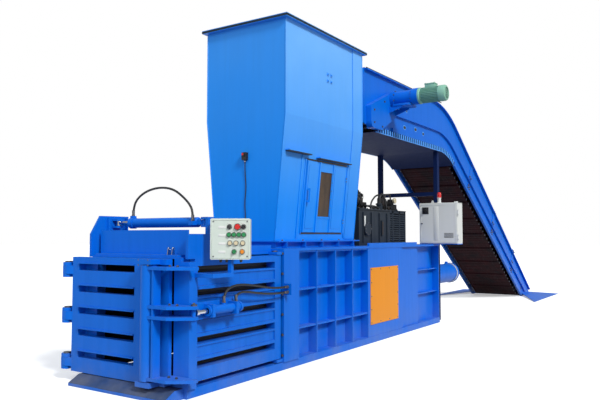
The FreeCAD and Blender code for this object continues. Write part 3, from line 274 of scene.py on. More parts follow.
class Finish(Tree):
    """A new material, written at its Principled shader."""

    def __init__(self, name):
        self.material = bpy.data.materials.new(name)
        self.material.use_nodes = True
        super().__init__(self.material.node_tree)
        self.shader = self.tree.nodes["Principled BSDF"]

    def group(self, group, **inputs):
        return self.add("Group", inputs, node_tree=group).outputs[0]

    def finished(self, inputs, height=None, strength=0.0, distance=0.0):
        """The material, once its shader is fed and its surface bumped."""
        self.feed(self.shader, inputs)
        if height:
            bump = self.add("Bump", {"Height": height, "Strength": strength, "Distance": distance})
            self.feed(self.shader, {"Normal": bump.outputs[0]})
        return self.material


def painted(name, paint, wear, dust, gloss=0.38, grime=0.25, fineness=90.0, fade=0.0):
    """Sprayed paint with streaks, dust near the floor, rubbed edges and a painted sheen of light."""
    tree = Finish(name)
    shade = tree.group(grime_shade(), Amount=grime)
    worn = tree.group(edge_mask(), Amount=wear)
    dusty = tree.group(dust_mask(), Amount=dust)
    height = tree.group(sprayed_height(), Fineness=fineness)
    tone = tree.mix(shade, deeper(paint, 0.55), paint)
    # painted light: a lighter sheen high up, most on the near side
    if fade:
        tone = tree.mix(tree.group(painted_sheen_mask(), Amount=fade), tone, PAINTED_SHEEN)
    tone = tree.mix(worn, tree.mix(dusty, tone, DUST), PRIMER)
    rough = tree.math("ADD", tree.ramp(shade, 0.0, 1.0, gloss + 0.25, gloss), tree.times(dusty, 0.4), True)
    return tree.finished({"Base Color": tone, "Roughness": rough, "Specular IOR Level": 0.14},
                         height, 0.25, 0.002)


def bare_metal(name, tone, gloss, streaks=(1.0, 40.0, 40.0), rust=0.0):
    """Turned or rolled metal with fine marks along one direction, and some rust."""
    tree = Finish(name)
    place = tree.place()
    marks = tree.noise(tree.stretched(place, streaks), 6.0, 3, 0.6)
    spots = tree.ramp(tree.noise(place, 5.0, 6, 0.7), 0.52, 0.68, 0.0, rust)
    light = tree.mix(tree.ramp(marks, 0.3, 0.7), deeper(tone, 0.75), tone)
    rough = tree.math("ADD", tree.ramp(marks, 0.3, 0.7, gloss - 0.06, gloss + 0.08),
                      tree.times(spots, 0.4), True)
    return tree.finished({"Base Color": tree.mix(spots, light, RUST), "Roughness": rough,
                          "Metallic": tree.math("SUBTRACT", 1.0, spots, True)}, marks, 0.12, 0.001)


def moulded(name, tone, gloss, grain=140.0, soil=0.2):
    """Moulded plastic or rubber with a fine grain and a little soiling."""
    tree = Finish(name)
    place = tree.place()
    patch = tree.ramp(tree.noise(place, 12.0, 4, 0.6), 0.4, 0.75, 0.0, soil)
    fine = tree.noise(place, grain, 2, 0.5)
    return tree.finished({"Base Color": tree.mix(patch, tone, deeper(tone, 0.45)),
                          "Roughness": tree.ramp(fine, 0.3, 0.7, gloss, gloss + 0.15)}, fine, 0.2, 0.0008)


def smoked_window(name):
    """Smoked sheet with dust on its inside."""
    tree = Finish(name)
    smear = tree.ramp(tree.noise(tree.stretched(tree.place(), (3, 3, 1)), 4.0, 5, 0.6), 0.35, 0.75)
    return tree.finished({"Base Color": tree.mix(smear, linear(52, 38, 26), linear(88, 68, 48)),
                          "Roughness": tree.ramp(smear, 0, 1, 0.3, 0.5), "Specular IOR Level": 0.2})


def slatted_steel(name):
    """Dark belt steel: worn bright on its ridges, rust brown in its hollows."""
    tree = Finish(name)
    place = tree.place()
    rust = tree.ramp(tree.noise(place, 3.4, 6, 0.65), 0.35, 0.7)
    rub = tree.ramp(tree.noise(tree.stretched(place, (1, 14, 1)), 5.0, 3, 0.5), 0.55, 0.8, 0.0, 0.4)
    base = tree.mix(rust, linear(20, 12, 18), linear(50, 14, 20))
    return tree.finished({"Base Color": tree.mix(rub, base, linear(62, 52, 56)),
                          "Roughness": tree.ramp(rub, 0, 0.4, 0.75, 0.55), "Specular IOR Level": 0.12},
                         rust, 0.3, 0.002)


def materials():
    """Every finish of the machine, by the name of its slot."""
    paint, _ = settings()
    wear, dust = paint.wear, paint.dust
    body, hopper, cover, motor, pack, cabinet, box = (
        tuple(getattr(paint, key)) for key in ("body", "hopper", "cover", "motor", "pack", "cabinet", "box"))
    recipes = {
        "body_blue": (painted, body, wear, dust),
        "wall_blue": (painted, body, wear + 0.2, dust, 0.38, 0.4),
        # a darker copy of the body's blue: painted shade for the drip tray and the conveyor's frame
        "shade_navy": (painted, linear(4, 28, 74), 0.0, 0.0, 0.7, 0.3),
        # a darker slate copy of the body's blue: painted shade on the sill's top
        "sill_slate": (painted, linear(36, 66, 112), wear + 0.2, dust, 0.55, 0.6),
        # the hopper's paint carries the painted sheen of light
        "hopper_blue": (painted, hopper, wear * 0.7, dust, 0.34, 0.16, 90.0, paint.fade),
        "cover_orange": (painted, cover, wear, dust * 0.6, 0.4, 0.15),
        "motor_green": (painted, motor, wear * 0.6, dust, 0.36, 0.3, 140.0),
        "pack_slate": (painted, pack, wear * 0.8, dust, 0.4, 0.4),
        "cabinet_grey": (painted, cabinet, wear * 0.3, dust * 0.6, 0.45, 0.12, 160.0),
        "pin_steel": (bare_metal, linear(112, 112, 116), 0.42, (40, 40, 1), 0.25),
        "rod_chrome": (bare_metal, linear(200, 202, 206), 0.14),
        "valve_steel": (bare_metal, linear(58, 58, 60), 0.5, (12, 12, 12), 0.35),
        "belt_steel": (slatted_steel,),
        "window_brown": (smoked_window,),
        "black_plastic": (moulded, linear(24, 24, 26), 0.4),
        "hose_rubber": (moulded, linear(26, 26, 28), 0.5, 220.0, 0.3),
        "beacon_red": (moulded, linear(206, 34, 34), 0.15, 60.0, 0.05),
        "box_grey": (moulded, box, 0.42, 120.0, 0.12),
        "red_plastic": (moulded, linear(196, 30, 26), 0.25, 90.0, 0.08),
        "green_plastic": (moulded, linear(30, 128, 72), 0.28, 90.0, 0.08),
        "beige_plastic": (moulded, linear(206, 192, 158), 0.3, 90.0, 0.1),
        "amber_plastic": (moulded, linear(228, 140, 34), 0.25, 90.0, 0.08),
    }
    return {name: make(name, *values) for name, (make, *values) in recipes.items()}


FINISH = {}


def dress(obj, slot, finish=None):
    """The piece takes the finish of this slot, or a darker or lighter copy of the same paint, which paints
    shade or light into it.
    """
    obj.data.materials.clear()
    obj.data.materials.append(FINISH[finish or slot])
    return obj


# --- mesh helpers


def piece(name, mesh_or_curve, body, slot, replaced=()):
    """A new piece that rides on a body and has a finish."""
    obj = bpy.data.objects.new(name, mesh_or_curve)
    bpy.context.scene.collection.objects.link(obj)
    dress(obj, slot)
    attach(obj, body)
    if replaced:
        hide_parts(*replaced)
    return obj


def mesh_of(bm, name, smooth_degrees=None):
    """The mesh of a bmesh, shaded smooth up to an angle."""
    mesh = bpy.data.meshes.new(name)
    bmesh.ops.recalc_face_normals(bm, faces=bm.faces)
    if smooth_degrees is not None:
        for face in bm.faces:
            face.smooth = True
        for edge in bm.edges:
            edge.smooth = len(edge.link_faces) == 2 and edge.calc_face_angle(0) < math.radians(smooth_degrees)
    bm.to_mesh(mesh)
    bm.free()
    return mesh


def circle(count, radius, start=0.0):
    """Pairs evenly round a circle, the first one a part of a step further on."""
    return [(radius * math.cos(t), radius * math.sin(t))
            for t in (math.tau * (k + start) / count for k in range(count))]


def arc(centre, radius, first, last, count):
    """Spots round a centre, by degrees."""
    turns = (math.radians(first + (last - first) * k / count) for k in range(count + 1))
    return [(centre[0] + radius * math.cos(t), centre[1] + radius * math.sin(t)) for t in turns]


def box_outline(a0, b0, a1, b1):
    return [(a0, b0), (a1, b0), (a1, b1), (a0, b1)]


def with_axis(pair, across, level):
    """A spot from two of its axes and its level along the third."""
    spot = list(pair)
    spot.insert(across, level)
    return spot


def sweep_bend(spots, steps=6):
    """A pipe's line rounded at its corners."""
    spots = [Vector(s) for s in spots]
    line = [spots[0]]
    for before, here, after in zip(spots, spots[1:], spots[2:]):
        reach = 0.45 * min((before - here).length, (after - here).length)
        start = here + (before - here).normalized() * reach
        end = here + (after - here).normalized() * reach
        for k in range(steps + 1):
            t = k / steps
            line.append(start * (1 - t) ** 2 + here * 2 * t * (1 - t) + end * t * t)
    return line + [spots[-1]]


class Form:
    """Plates, turned parts and bent tubes gathered into the mesh of one piece."""

    def __init__(self, place=Matrix.Identity(4)):
        self.bm = bmesh.new()
        self.place = place

    def block(self, low, high, soften=0.003):
        """A bar between two corners, its edges rounded."""
        made = bmesh.ops.create_cube(self.bm, size=1)["verts"]
        low, high = Vector(low), Vector(high)
        for vert in made:
            vert.co = Vector([a * b for a, b in zip(vert.co, high - low)]) + (low + high) / 2
        if soften:
            edges = list({edge for vert in made for edge in vert.link_edges})
            bmesh.ops.bevel(self.bm, geom=edges, offset=soften, segments=2, profile=0.5, affect="EDGES")

    def bead_round(self, outline, across, low, high, half, soften):
        """A bead along the sides of an upright rectangle."""
        for one, two in zip(outline, outline[1:] + outline[:1]):
            start = [min(pair) - half for pair in zip(one, two)]
            end = [max(pair) + half for pair in zip(one, two)]
            self.block(with_axis(start, across, low), with_axis(end, across, high), soften)

    def lathe(self, base, axis, profile, sides=24, hollow=False):
        """A turned form: (along, radius) pairs from the base along the axis."""
        along = Vector(axis).normalized()
        across = along.orthogonal().normalized()
        third = along.cross(across)
        rings = []
        for reach, radius in profile:
            centre = Vector(base) + along * reach
            rings.append([self.bm.verts.new(centre + (across * a + third * b) * radius)
                          for a, b in circle(sides if radius else 1, 1)])
        pairs = list(zip(rings, rings[1:])) + ([(rings[-1], rings[0])] if hollow else [])
        for one, two in pairs:
            for k in range(sides):
                corners = [one[k % len(one)], one[(k + 1) % len(one)],
                           two[(k + 1) % len(two)], two[k % len(two)]]
                corners = list(dict.fromkeys(corners))
                if len(corners) > 2:
                    self.bm.faces.new(corners)
        if not hollow:
            for end in (rings[0], rings[-1]):
                if len(end) > 2:
                    self.bm.faces.new(end)

    def disc(self, base, axis, radius, tall, sides=16):
        self.lathe(base, axis, [(0, radius), (tall, radius)], sides)

    def plate(self, outline, across, low, high):
        """A flat plate: its outline in two axes, thick along the third."""
        bottom, top = ([self.bm.verts.new(with_axis(pair, across, level)) for pair in outline]
                       for level in sorted((low, high)))
        self.bm.faces.new(bottom)
        self.bm.faces.new(top)
        for k in range(len(outline)):
            j = (k + 1) % len(outline)
            self.bm.faces.new((bottom[k], bottom[j], top[j], top[k]))

    def tube(self, spots, radius, sides=12):
        """A bent pipe through a line of spots."""
        spots = [Vector(s) for s in spots]
        side, rings = None, []
        for k, spot in enumerate(spots):
            ahead = (spots[min(k + 1, len(spots) - 1)] - spots[max(k - 1, 0)]).normalized()
            side = ahead.orthogonal() if side is None else side - ahead * side.dot(ahead)
            side = side.normalized()
            up = ahead.cross(side)
            rings.append([self.bm.verts.new(spot + (side * a + up * b) * radius)
                          for a, b in circle(sides, 1)])
        for one, two in zip(rings, rings[1:]):
            for j in range(sides):
                self.bm.faces.new((one[j], one[(j + 1) % sides], two[(j + 1) % sides], two[j]))
        self.bm.faces.new(rings[0])
        self.bm.faces.new(rings[-1])

    def bent_pipe(self, spots, radius):
        self.tube(sweep_bend(spots), radius)

    def bolt(self, spot, axis, across=None, tall=None):
        """A hexagon bolt on its washer, with the end of its thread."""
        across = across or settings()[1].bolt
        tall = tall or 0.6 * across
        corner = across / math.sqrt(3)
        self.disc(spot, axis, 1.12 * corner, 0.08 * across, 20)
        self.lathe(spot, axis, [(0.08 * across, corner), (0.88 * tall, corner), (tall, 0.86 * corner)], 6)
        self.lathe(spot, axis, [(tall, 0.3 * across), (1.2 * tall, 0.27 * across)], 12)

    def eye(self, spot, span, tall, thick):
        """A lifting eye: a plate with a round head and a hole, standing on the spot along X."""
        x, y, z = spot
        middle = z + tall - span / 2
        outline = [(x + 0.8 * span, z)] + arc((x, middle), span / 2, 0, 180, 12) + [(x - 0.8 * span, z)]
        self.plate(outline, Y, y - thick / 2, y + thick / 2)
        self.lathe((x, y - thick * 0.75, middle), FAR,
                   [(0, span / 4), (0, span / 2.6), (1.5 * thick, span / 2.6), (1.5 * thick, span / 4)],
                   20, hollow=True)

    def done(self, name, slot, body="frame", replaced=(), smooth=32):
        """The finished piece, riding on its body."""
        self.bm.transform(self.place)
        return piece(name, mesh_of(self.bm, name, smooth), body, slot, replaced)


# --- finishes of the carried-over solids


class BALER_OT_finishes(bpy.types.Operator):
    """Give every carried-over solid the finish of its slot, and the conveyor's frame a darker copy of its
    blue as painted shade.
    """

    bl_idname = "baler.finishes"
    bl_label = "Paints and finishes"

    def execute(self, context):
        FINISH.update(materials())
        for row in frame["record"]["subparts"]:
            shown = NODES[row["node"]].data.materials
            shown.clear()
            # the conveyor's frame is painted a darker navy, as shade
            shown.append(FINISH["shade_navy" if row["node"] == "conveyor_frame" else row["material_slot"]])
        return {"FINISHED"}


# --- hoses


HOSES = {
    "photo_eye_cable": ("eye_cable", "frame", [
        (-1.02, -0.02, 2.505), (-1.02, -0.02, 2.44), (-1.008, -0.014, 2.33),
        (-1.008, -0.032, 2.15), (-1.008, -0.008, 1.96), (-1.008, -0.026, 1.79),
        (-1.008, -0.018, 1.64), (-1.008, -0.022, 1.4905)]),
    "squeeze_cylinder_hose": ("squeeze_hose", "squeeze_barrel", [
        (-2.45, 0.412, 1.77), (-2.45, 0.412, 1.855), (-2.456, 0.35, 1.96),
        (-2.462, 0.19, 2.04), (-2.47, -0.02, 2.07), (-2.484, -0.23, 2.04),
        (-2.5, -0.4, 1.94), (-2.512, -0.505, 1.85), (-2.515, -0.53, 1.772),
        (-2.515, -0.53, 1.702)]),
    "lock_hose_front": ("fixed_hoses", "frame", [
        (-2.38, -0.835, 0.887), (-2.38, -0.835, 0.965), (-2.29, -0.835, 1.035),
        (-2.09, -0.832, 1.05), (-1.83, -0.826, 1.015), (-1.56, -0.815, 0.972),
        (-1.33, -0.802, 0.96), (-1.2006, -0.8, 0.962)]),
    "lock_hose_rear": ("fixed_hoses", "frame", [
        (-2.19, -0.835, 0.887), (-2.19, -0.835, 0.935), (-2.12, -0.838, 0.972),
        (-1.98, -0.836, 0.962), (-1.73, -0.826, 0.925), (-1.47, -0.812, 0.905),
        (-1.29, -0.802, 0.9), (-1.2006, -0.8, 0.902)]),
}
HOSE_ENDS = {
    "frame": [((-2.38, -0.835, 0.885), UP), ((-2.19, -0.835, 0.885), UP),
              ((-1.2, -0.8, 0.962), FRONT), ((-1.2, -0.8, 0.902), FRONT)],
    "squeeze_barrel": [((-2.45, 0.412, 1.768), UP), ((-2.515, -0.53, 1.7), UP)],
}


def route_length(curve_object):
    """Length of the curve's own line."""
    line = bpy.data.meshes.new_from_object(curve_object)
    spots = [v.co.copy() for v in line.vertices]
    bpy.data.meshes.remove(line)
    return sum((b - a).length for a, b in zip(spots, spots[1:]))


def hose_piece(name, node, body, route, diameter):
    """A free hose: one smooth spline over the route's points, whose length is measured."""
    curve = bpy.data.curves.new(name, "CURVE")
    curve.dimensions = "3D"
    spline = curve.splines.new("NURBS")
    spline.points.add(len(route) - 1)
    for point, spot in zip(spline.points, route):
        point.co = (*spot, 1)
    spline.order_u = 3
    spline.use_endpoint_u = True
    spline.resolution_u = 10
    curve.use_fill_caps = True
    obj = piece(name, curve, body, "hose_rubber", (node,))
    measured = route_length(obj)
    for point in spline.points:  # it scales a bevel of one metre
        point.radius = diameter / 2
    curve.bevel_depth = 1
    curve.bevel_resolution = 3
    return obj


class BALER_OT_hoses(bpy.types.Operator):
    """Lay the hydraulic hoses and the photo-eye's cable."""

    bl_idname = "baler.hoses"
    bl_label = "Hoses and cable"

    def execute(self, context):
        _, sizes = settings()
        for name, (node, body, route) in HOSES.items():
            hose_piece(name, node, body, route, sizes.cable if node == "eye_cable" else sizes.hose)
        return {"FINISHED"}


class BALER_OT_hose_ends(bpy.types.Operator):
    """Crimp a ferrule and a hexagon nut on each hose end, and a gland on each cable end."""

    bl_idname = "baler.hose_ends"
    bl_label = "Hose ends"

    def execute(self, context):
        _, sizes = settings()
        r, c = sizes.hose / 2, sizes.cable / 2
        for body, ends in HOSE_ENDS.items():
            form = Form()
            for spot, axis in ends:
                form.lathe(spot, axis, [(0, 1.7 * r), (0.016, 1.7 * r), (0.019, 1.5 * r)], 6)
                form.lathe(spot, axis, [(0.019, 1.25 * r), (0.03, 1.25 * r), (0.03, 1.32 * r),
                                        (0.062, 1.32 * r), (0.066, 1.08 * r)], 20)
                for k in range(4):
                    form.disc(Vector(spot) + Vector(axis) * (0.034 + 0.007 * k), axis, 1.36 * r, 0.004, 20)
            form.done("hose_ends_" + body, "pin_steel", body)
        glands = Form()
        for spot, axis in (((-1.008, -0.022, 1.49), UP), ((-1.02, -0.02, 2.506), DOWN)):
            glands.disc(spot, axis, 2.4 * c, 0.008, 6)
            glands.lathe(spot, axis, [(0.008, 2.1 * c), (0.02, 1.9 * c), (0.026, 1.2 * c)], 16)
        glands.done("cable_glands", "black_plastic")
        return {"FINISHED"}


# --- conveyor belt


SLOPE = math.atan(0.603)
HEAD, HEAD_RADIUS, TAIL, TAIL_RADIUS = (1.345, 3.405), 0.225, (9.72, 0.2), 0.174
TOP_BEND, LOW_BEND = ((4.3687, 3.63), 1.924), ((4.4411, 3.18), 1.5)
TOP_END, LOW_END = (9.8099, 0.349), (9.6301, 0.051)
BELT_HALF = 0.52
# Sections of one link: how far along the pitch, and how far out from the belt's line
SLAT = ((0.06, -0.012), (0.06, -0.004), (0.45, -0.004), (0.5, 0.002), (0.55, -0.004), (0.94, -0.004),
        (0.94, -0.012))
CLEAT = ((0.2, -0.005), (0.26, 0.016), (0.34, 0.016), (0.4, -0.005))
WING = ((-0.05, -0.014), (-0.02, 0.016), (0.98, 0.016), (1.05, -0.014))


def belt_strand(bend, first_x, last, out):
    """One strand's line: (x, z, out_x, out_z), from the head past its bend to the tail."""
    (cx, cz), radius = bend
    reach = radius * math.tan(SLOPE / 2)
    line = [(first_x + (cx - reach - first_x) * k / 30, cz, 0.0, out) for k in range(31)]
    for k in range(1, 25):
        n = (math.sin(SLOPE * k / 24), math.cos(SLOPE * k / 24))
        line.append((cx - reach + radius * n[0], cz - radius + radius * n[1], out * n[0], out * n[1]))
    start = line[-1]
    for t in (k / 50 for k in range(1, 51)):
        line.append((start[0] + (last[0] - start[0]) * t, start[1] + (last[1] - start[1]) * t,
                     out * math.sin(SLOPE), out * math.cos(SLOPE)))
    return line


def pulley_turn(centre, radius, first, last, count=16):
    """The line round a pulley, by radians."""
    turns = [first + (last - first) * k / count for k in range(1, count)]
    return [(centre[0] + radius * math.cos(t), centre[1] + radius * math.sin(t), math.cos(t), math.sin(t))
            for t in turns]


def belt_loop():
    """The belt's outer line all round, head to tail on top and back below."""
    up = math.pi / 2
    lean = up - SLOPE
    return (belt_strand(TOP_BEND, HEAD[0], TOP_END, 1)
            + pulley_turn(TAIL, TAIL_RADIUS, lean, lean - math.pi)
            + belt_strand(LOW_BEND, HEAD[0], LOW_END, -1)[::-1]
            + pulley_turn(HEAD, HEAD_RADIUS, -up, -3 * up))


def spaced(line, pitch, closed=True):
    """Spots along a line at even steps, as close to the pitch as comes out even."""
    spots = [Vector(p) for p in line] + ([Vector(line[0])] if closed else [])
    runs = [0.0]
    for a, b in zip(spots, spots[1:]):
        runs.append(runs[-1] + math.hypot(b[0] - a[0], b[1] - a[1]))
    count = round(runs[-1] / pitch)
    made, k = [], 0
    for n in range(count + (0 if closed else 1)):
        want = runs[-1] * n / count
        while k < len(runs) - 2 and runs[k + 1] < want:
            k += 1
        t = (want - runs[k]) / max(runs[k + 1] - runs[k], 1e-9)
        made.append(spots[k].lerp(spots[k + 1], min(t, 1)))
    return made


def out_from(spot, lift):
    """The (x, z) of a spot of the line, moved out from it."""
    return (spot[0] + spot[2] * lift, spot[1] + spot[3] * lift)


class BALER_OT_belt(bpy.types.Operator):
    """Lay the apron belt: hinged slats with cleats, side wings, link pins and rollers."""

    bl_idname = "baler.belt"
    bl_label = "Apron belt"

    def execute(self, context):
        spots = spaced(belt_loop(), settings()[1].slat)
        slats, links = Form(), Form()
        for k, (here, there) in enumerate(zip(spots, spots[1:] + spots[:1])):
            slat, cleat, wing = ([out_from(here.lerp(there, t), lift) for t, lift in section]
                                 for section in (SLAT, CLEAT, WING))
            slats.plate(slat, Y, -BELT_HALF, BELT_HALF)
            if k % 4 == 0:
                slats.plate(cleat, Y, -BELT_HALF + 0.04, BELT_HALF - 0.04)
            x, z = out_from(here, -0.01)
            slats.disc((x, -BELT_HALF, z), FAR, 0.009, 2 * BELT_HALF, 8)
            for sign in BOTH:
                slats.plate(wing, Y, sign * (BELT_HALF - 0.006), sign * (BELT_HALF - 0.001))
                links.lathe((x, sign * BELT_HALF, z), (0, sign, 0),
                            [(0, 0.024), (0.014, 0.024), (0.014, 0.01), (0.018, 0.01)], 14)
        slats.done("belt_slats", "belt_steel", replaced=("apron_belt",), smooth=20)
        links.done("belt_rollers", "pin_steel")
        return {"FINISHED"}


# --- conveyor trim


SIDE, SPLICE = 0.63, 0.64  # faces of the side frames and of the plates on them
TRAY, TRAY_DEPTH = 0.66, 0.046
CLAMP = ((-0.015, -0.03), (0.021, -0.03), (0.015, 0.04), (-0.021, 0.04))


class BALER_OT_conveyor(bpy.types.Operator):
    """Add the drip tray with its toothed edge, splice plates, slots and the head's low cover."""

    bl_idname = "baler.conveyor"
    bl_label = "Conveyor trim"

    def execute(self, context):
        self.tray()
        self.splices()
        self.openings()
        self.head_cover()
        return {"FINISHED"}

    def tray(self):
        """The drip tray under the bend, with clamps and a rolled lip along its sides."""
        bend = [p for p in belt_strand(LOW_BEND, 1.36, LOW_END, -1) if p[0] < 4.83]
        tray, clamps, lips = Form(), Form(), Form()
        for a, b in zip(bend, bend[1:]):
            bottom, side = ([out_from(a, inner), out_from(b, inner), out_from(b, TRAY_DEPTH),
                             out_from(a, TRAY_DEPTH)] for inner in (TRAY_DEPTH - 0.004, -0.034))
            tray.plate(bottom, Y, -TRAY, TRAY)
            for sign in BOTH:
                tray.plate(side, Y, sign * TRAY, sign * (TRAY - 0.004))
        bmesh.ops.remove_doubles(tray.bm, verts=tray.bm.verts, dist=0.0004)
        # the tray is painted a darker navy, as shade under the belt
        dress(tray.done("drip_tray", "body_blue"), "body_blue", "shade_navy")
        for p in spaced(bend, 0.085, closed=False)[1:-1]:
            tooth = [(p[0] + p[3] * s + p[2] * t, p[1] - p[2] * s + p[3] * t) for s, t in CLAMP]
            for sign in BOTH:
                clamps.plate(tooth, Y, sign * TRAY, sign * (TRAY + 0.009))
        clamps.done("tray_clamps", "hopper_blue")
        for sign in BOTH:
            lips.tube([with_axis(out_from(p, TRAY_DEPTH), Y, sign * TRAY) for p in bend], 0.008, 8)
        lips.done("tray_lips", "hopper_blue")

    def splices(self):
        """Bolted plates across the joints of the side frames' lengths."""
        plates, bolts = Form(), Form()
        run = Vector((math.cos(SLOPE), -math.sin(SLOPE)))
        up = Vector((math.sin(SLOPE), math.cos(SLOPE)))
        for along, (low, high), sign in product((0.9, 2.7, 4.5), ((0.06, 0.2), (0.33, 0.7)), BOTH):
            base = Vector((4.85, 2.915)) + run * along
            plates.plate([base + run * s + up * t for s, t in box_outline(-0.07, low, 0.07, high)],
                         Y, sign * SIDE, sign * SPLICE)
            for s, t in product((-0.04, 0.04), (low + 0.04, high - 0.04)):
                bolts.bolt(with_axis(base + run * s + up * t, Y, sign * SPLICE), (0, sign, 0))
        plates.done("frame_splices", "body_blue")
        bolts.done("splice_bolts", "pin_steel")

    def openings(self):
        """The adjusting slots, the sensor hole and the dark vertical slot of the head's side plate, with
        black plates in them as painted shade.
        """
        rims, darks = Form(), Form()
        # the black plates paint the shade inside the slots, the hole and the vertical slot
        for x, z, half in ((2.5, 3.36, 0.045), (2.96, 3.39, 0.045), (3.3, 3.36, 0.03)):
            for form, radius, y in ((rims, 0.024 + 0.012, -0.633), (darks, 0.024, -0.6345)):
                form.plate(arc((x + half - 0.02, z), radius, -90, 90, 10)
                           + arc((x - half + 0.02, z), radius, 90, 270, 10), Y, y, -SIDE)
        rims.lathe((2.59, -SIDE, 3.65), NEAR, [(0, 0.034), (0.004, 0.032)])
        darks.disc((2.59, -0.633, 3.65), NEAR, 0.02, 0.003, 24)
        darks.plate(box_outline(1.985, 3.44, 2.015, 3.8), Y, -0.634, -SIDE)
        rims.done("slot_rims", "hopper_blue")
        darks.done("slot_shadows", "black_plastic")

    def head_cover(self):
        """The low cover over the head pulley, its cheeks and the drop lip, in place of a tall hood."""
        cover, edge = Form(), Form()
        for near, far, top in ((-SIDE, -0.614, 4.05), (0.614, SIDE, 4.05), (-SIDE, SIDE, 3.231)):
            cover.block((0.99, near, 3.215), (1.064, far, top), 0.002)
        cover.plate([(1.049, 4.05), (1.049, 4.062), (1.075, 4.07), (2.05, 4.07), (2.75, 4.052)],
                    Y, -SIDE, SIDE)
        for x in (1.25, 1.65, 2.05):
            cover.block((x - 0.012, -0.646, 4.052), (x + 0.012, 0.646, 4.078))
        cover.done("head_cover", "body_blue", replaced=("head_casing",))
        for sign in BOTH:
            edge.tube([(1.055, sign * 0.67, 4.056), (2.05, sign * 0.672, 4.058), (4.1, sign * 0.672, 4.056)],
                      0.009, 8)
        edge.done("cover_edging", "black_plastic")


# --- motors


DRIVE_X, DRIVE_Z = 1.85, 3.71


def finned_barrel(form, start, axis, length, inner, outer, fins):
    """A motor's barrel with its cooling fins along it."""
    axis = Vector(axis)
    side = axis.orthogonal().normalized()
    form.disc(start, axis, inner, length, 32)
    for k in range(fins):
        turn = Matrix.Rotation(math.tau * k / fins, 3, axis)
        out, half = turn @ side, turn @ axis.cross(side) * 0.0035
        corners = [Vector(start) + axis * reach + out * radius
                   for radius, reach in box_outline(inner - 0.004, 0, outer, length)]
        front, back = ([form.bm.verts.new(c + shift) for c in corners] for shift in (half, -half))
        form.bm.faces.new(front)
        form.bm.faces.new(back)
        for a, b in ((0, 1), (1, 2), (2, 3), (3, 0)):
            form.bm.faces.new((front[a], front[b], back[b], back[a]))


class BALER_OT_drive(bpy.types.Operator):
    """Build the conveyor's finned motor with its box, cowl and bracket, and the reducer's bolts."""

    bl_idname = "baler.drive"
    bl_label = "Conveyor drive"

    def execute(self, context):
        motor, bolts, bracket = Form(), Form(), Form()
        base = Vector((DRIVE_X, -1.18, DRIVE_Z))
        motor.lathe(base, NEAR, [(0, 0.127), (0.022, 0.127), (0.026, 0.12), (0.05, 0.104)], 40)
        finned_barrel(motor, base + Vector((0, -0.045, 0)), NEAR, 0.285, 0.102, 0.121, 30)
        motor.lathe(base + Vector((0, -0.325, 0)), NEAR,
                    [(0, 0.118), (0.004, 0.123), (0.085, 0.123), (0.105, 0.112), (0.11, 0.1),
                     (0.11, 0.03), (0.106, 0.0)], 40)
        grille_ring = ((0, 0.09), (0.004, 0.088), (0.004, 0.082), (0, 0.08))
        for k in range(4):
            motor.lathe(base + Vector((0, -0.4351, 0)), NEAR, [(t, r - 0.02 * k) for t, r in grille_ring], 32)
        motor.block((1.79, -1.445, 3.795), (1.91, -1.285, 3.865), 0.006)
        motor.block((1.784, -1.451, 3.862), (1.916, -1.279, 3.88), 0.006)
        motor.disc((DRIVE_X, -1.34, 3.8), DOWN, 0.03, 0.02)
        motor.done("conveyor_motor", "motor_green", replaced=("drive_motor",))
        for flange, seat in zip(circle(8, 0.113, 0.5), circle(8, 0.118, 0.5)):
            for (x, z), y, axis, across in ((flange, -1.074, FAR, 0.02), (seat, -0.786, NEAR, 0.018)):
                bolts.bolt((DRIVE_X + x, y, DRIVE_Z + z), axis, across)
        for x, z in ((1.2, 3.25), (1.47, 3.22), (1.2, 3.44), (1.88, 3.55), (1.88, 3.76), (1.55, 3.62)):
            bolts.bolt((x, -0.725, z), NEAR, 0.024)
        for side, y in product((-0.052, 0.052), (-1.437, -1.293)):
            bolts.bolt((DRIVE_X + side, y, 3.88), UP, 0.01, 0.006)
        bolts.done("drive_bolts", "pin_steel")
        bracket.block((1.7, -1.06, 3.565), (2.0, -0.79, 3.6), 0.004)
        for x in (1.72, 1.97):
            bracket.plate([(-0.632, 3.44), (-0.632, 3.565), (-0.95, 3.565), (-0.95, 3.545)],
                          X, x - 0.008, x + 0.008)
        bracket.done("motor_bracket", "body_blue")
        return {"FINISHED"}


# --- power pack


PACK_FLOOR, GUARD_TOP, RELIEF_FOOT, TANK_FRONT = 1.4, 1.985, 1.991, -0.418
RELIEF_PIPES = (  # the radius, then the corners
    (0.017, (2.34, -0.24, 1.99), (2.34, -0.24, 2.2), (2.42, -0.24, 2.27), (2.52, -0.24, 2.2),
     (2.56, -0.258, 2.03)),
    (0.014, (2.28, -0.1, 1.99), (2.3, -0.1, 2.12), (2.44, -0.12, 2.24), (2.66, -0.13, 2.26)),
    (0.013, (2.76, -0.13, 2.19), (2.78, -0.13, 2.27), (2.96, -0.14, 2.28), (2.97, -0.14, 2.18)),
    (0.013, (3.06, -0.14, 2.04), (3.2, -0.14, 2.04), (3.24, -0.16, 1.98)),
)


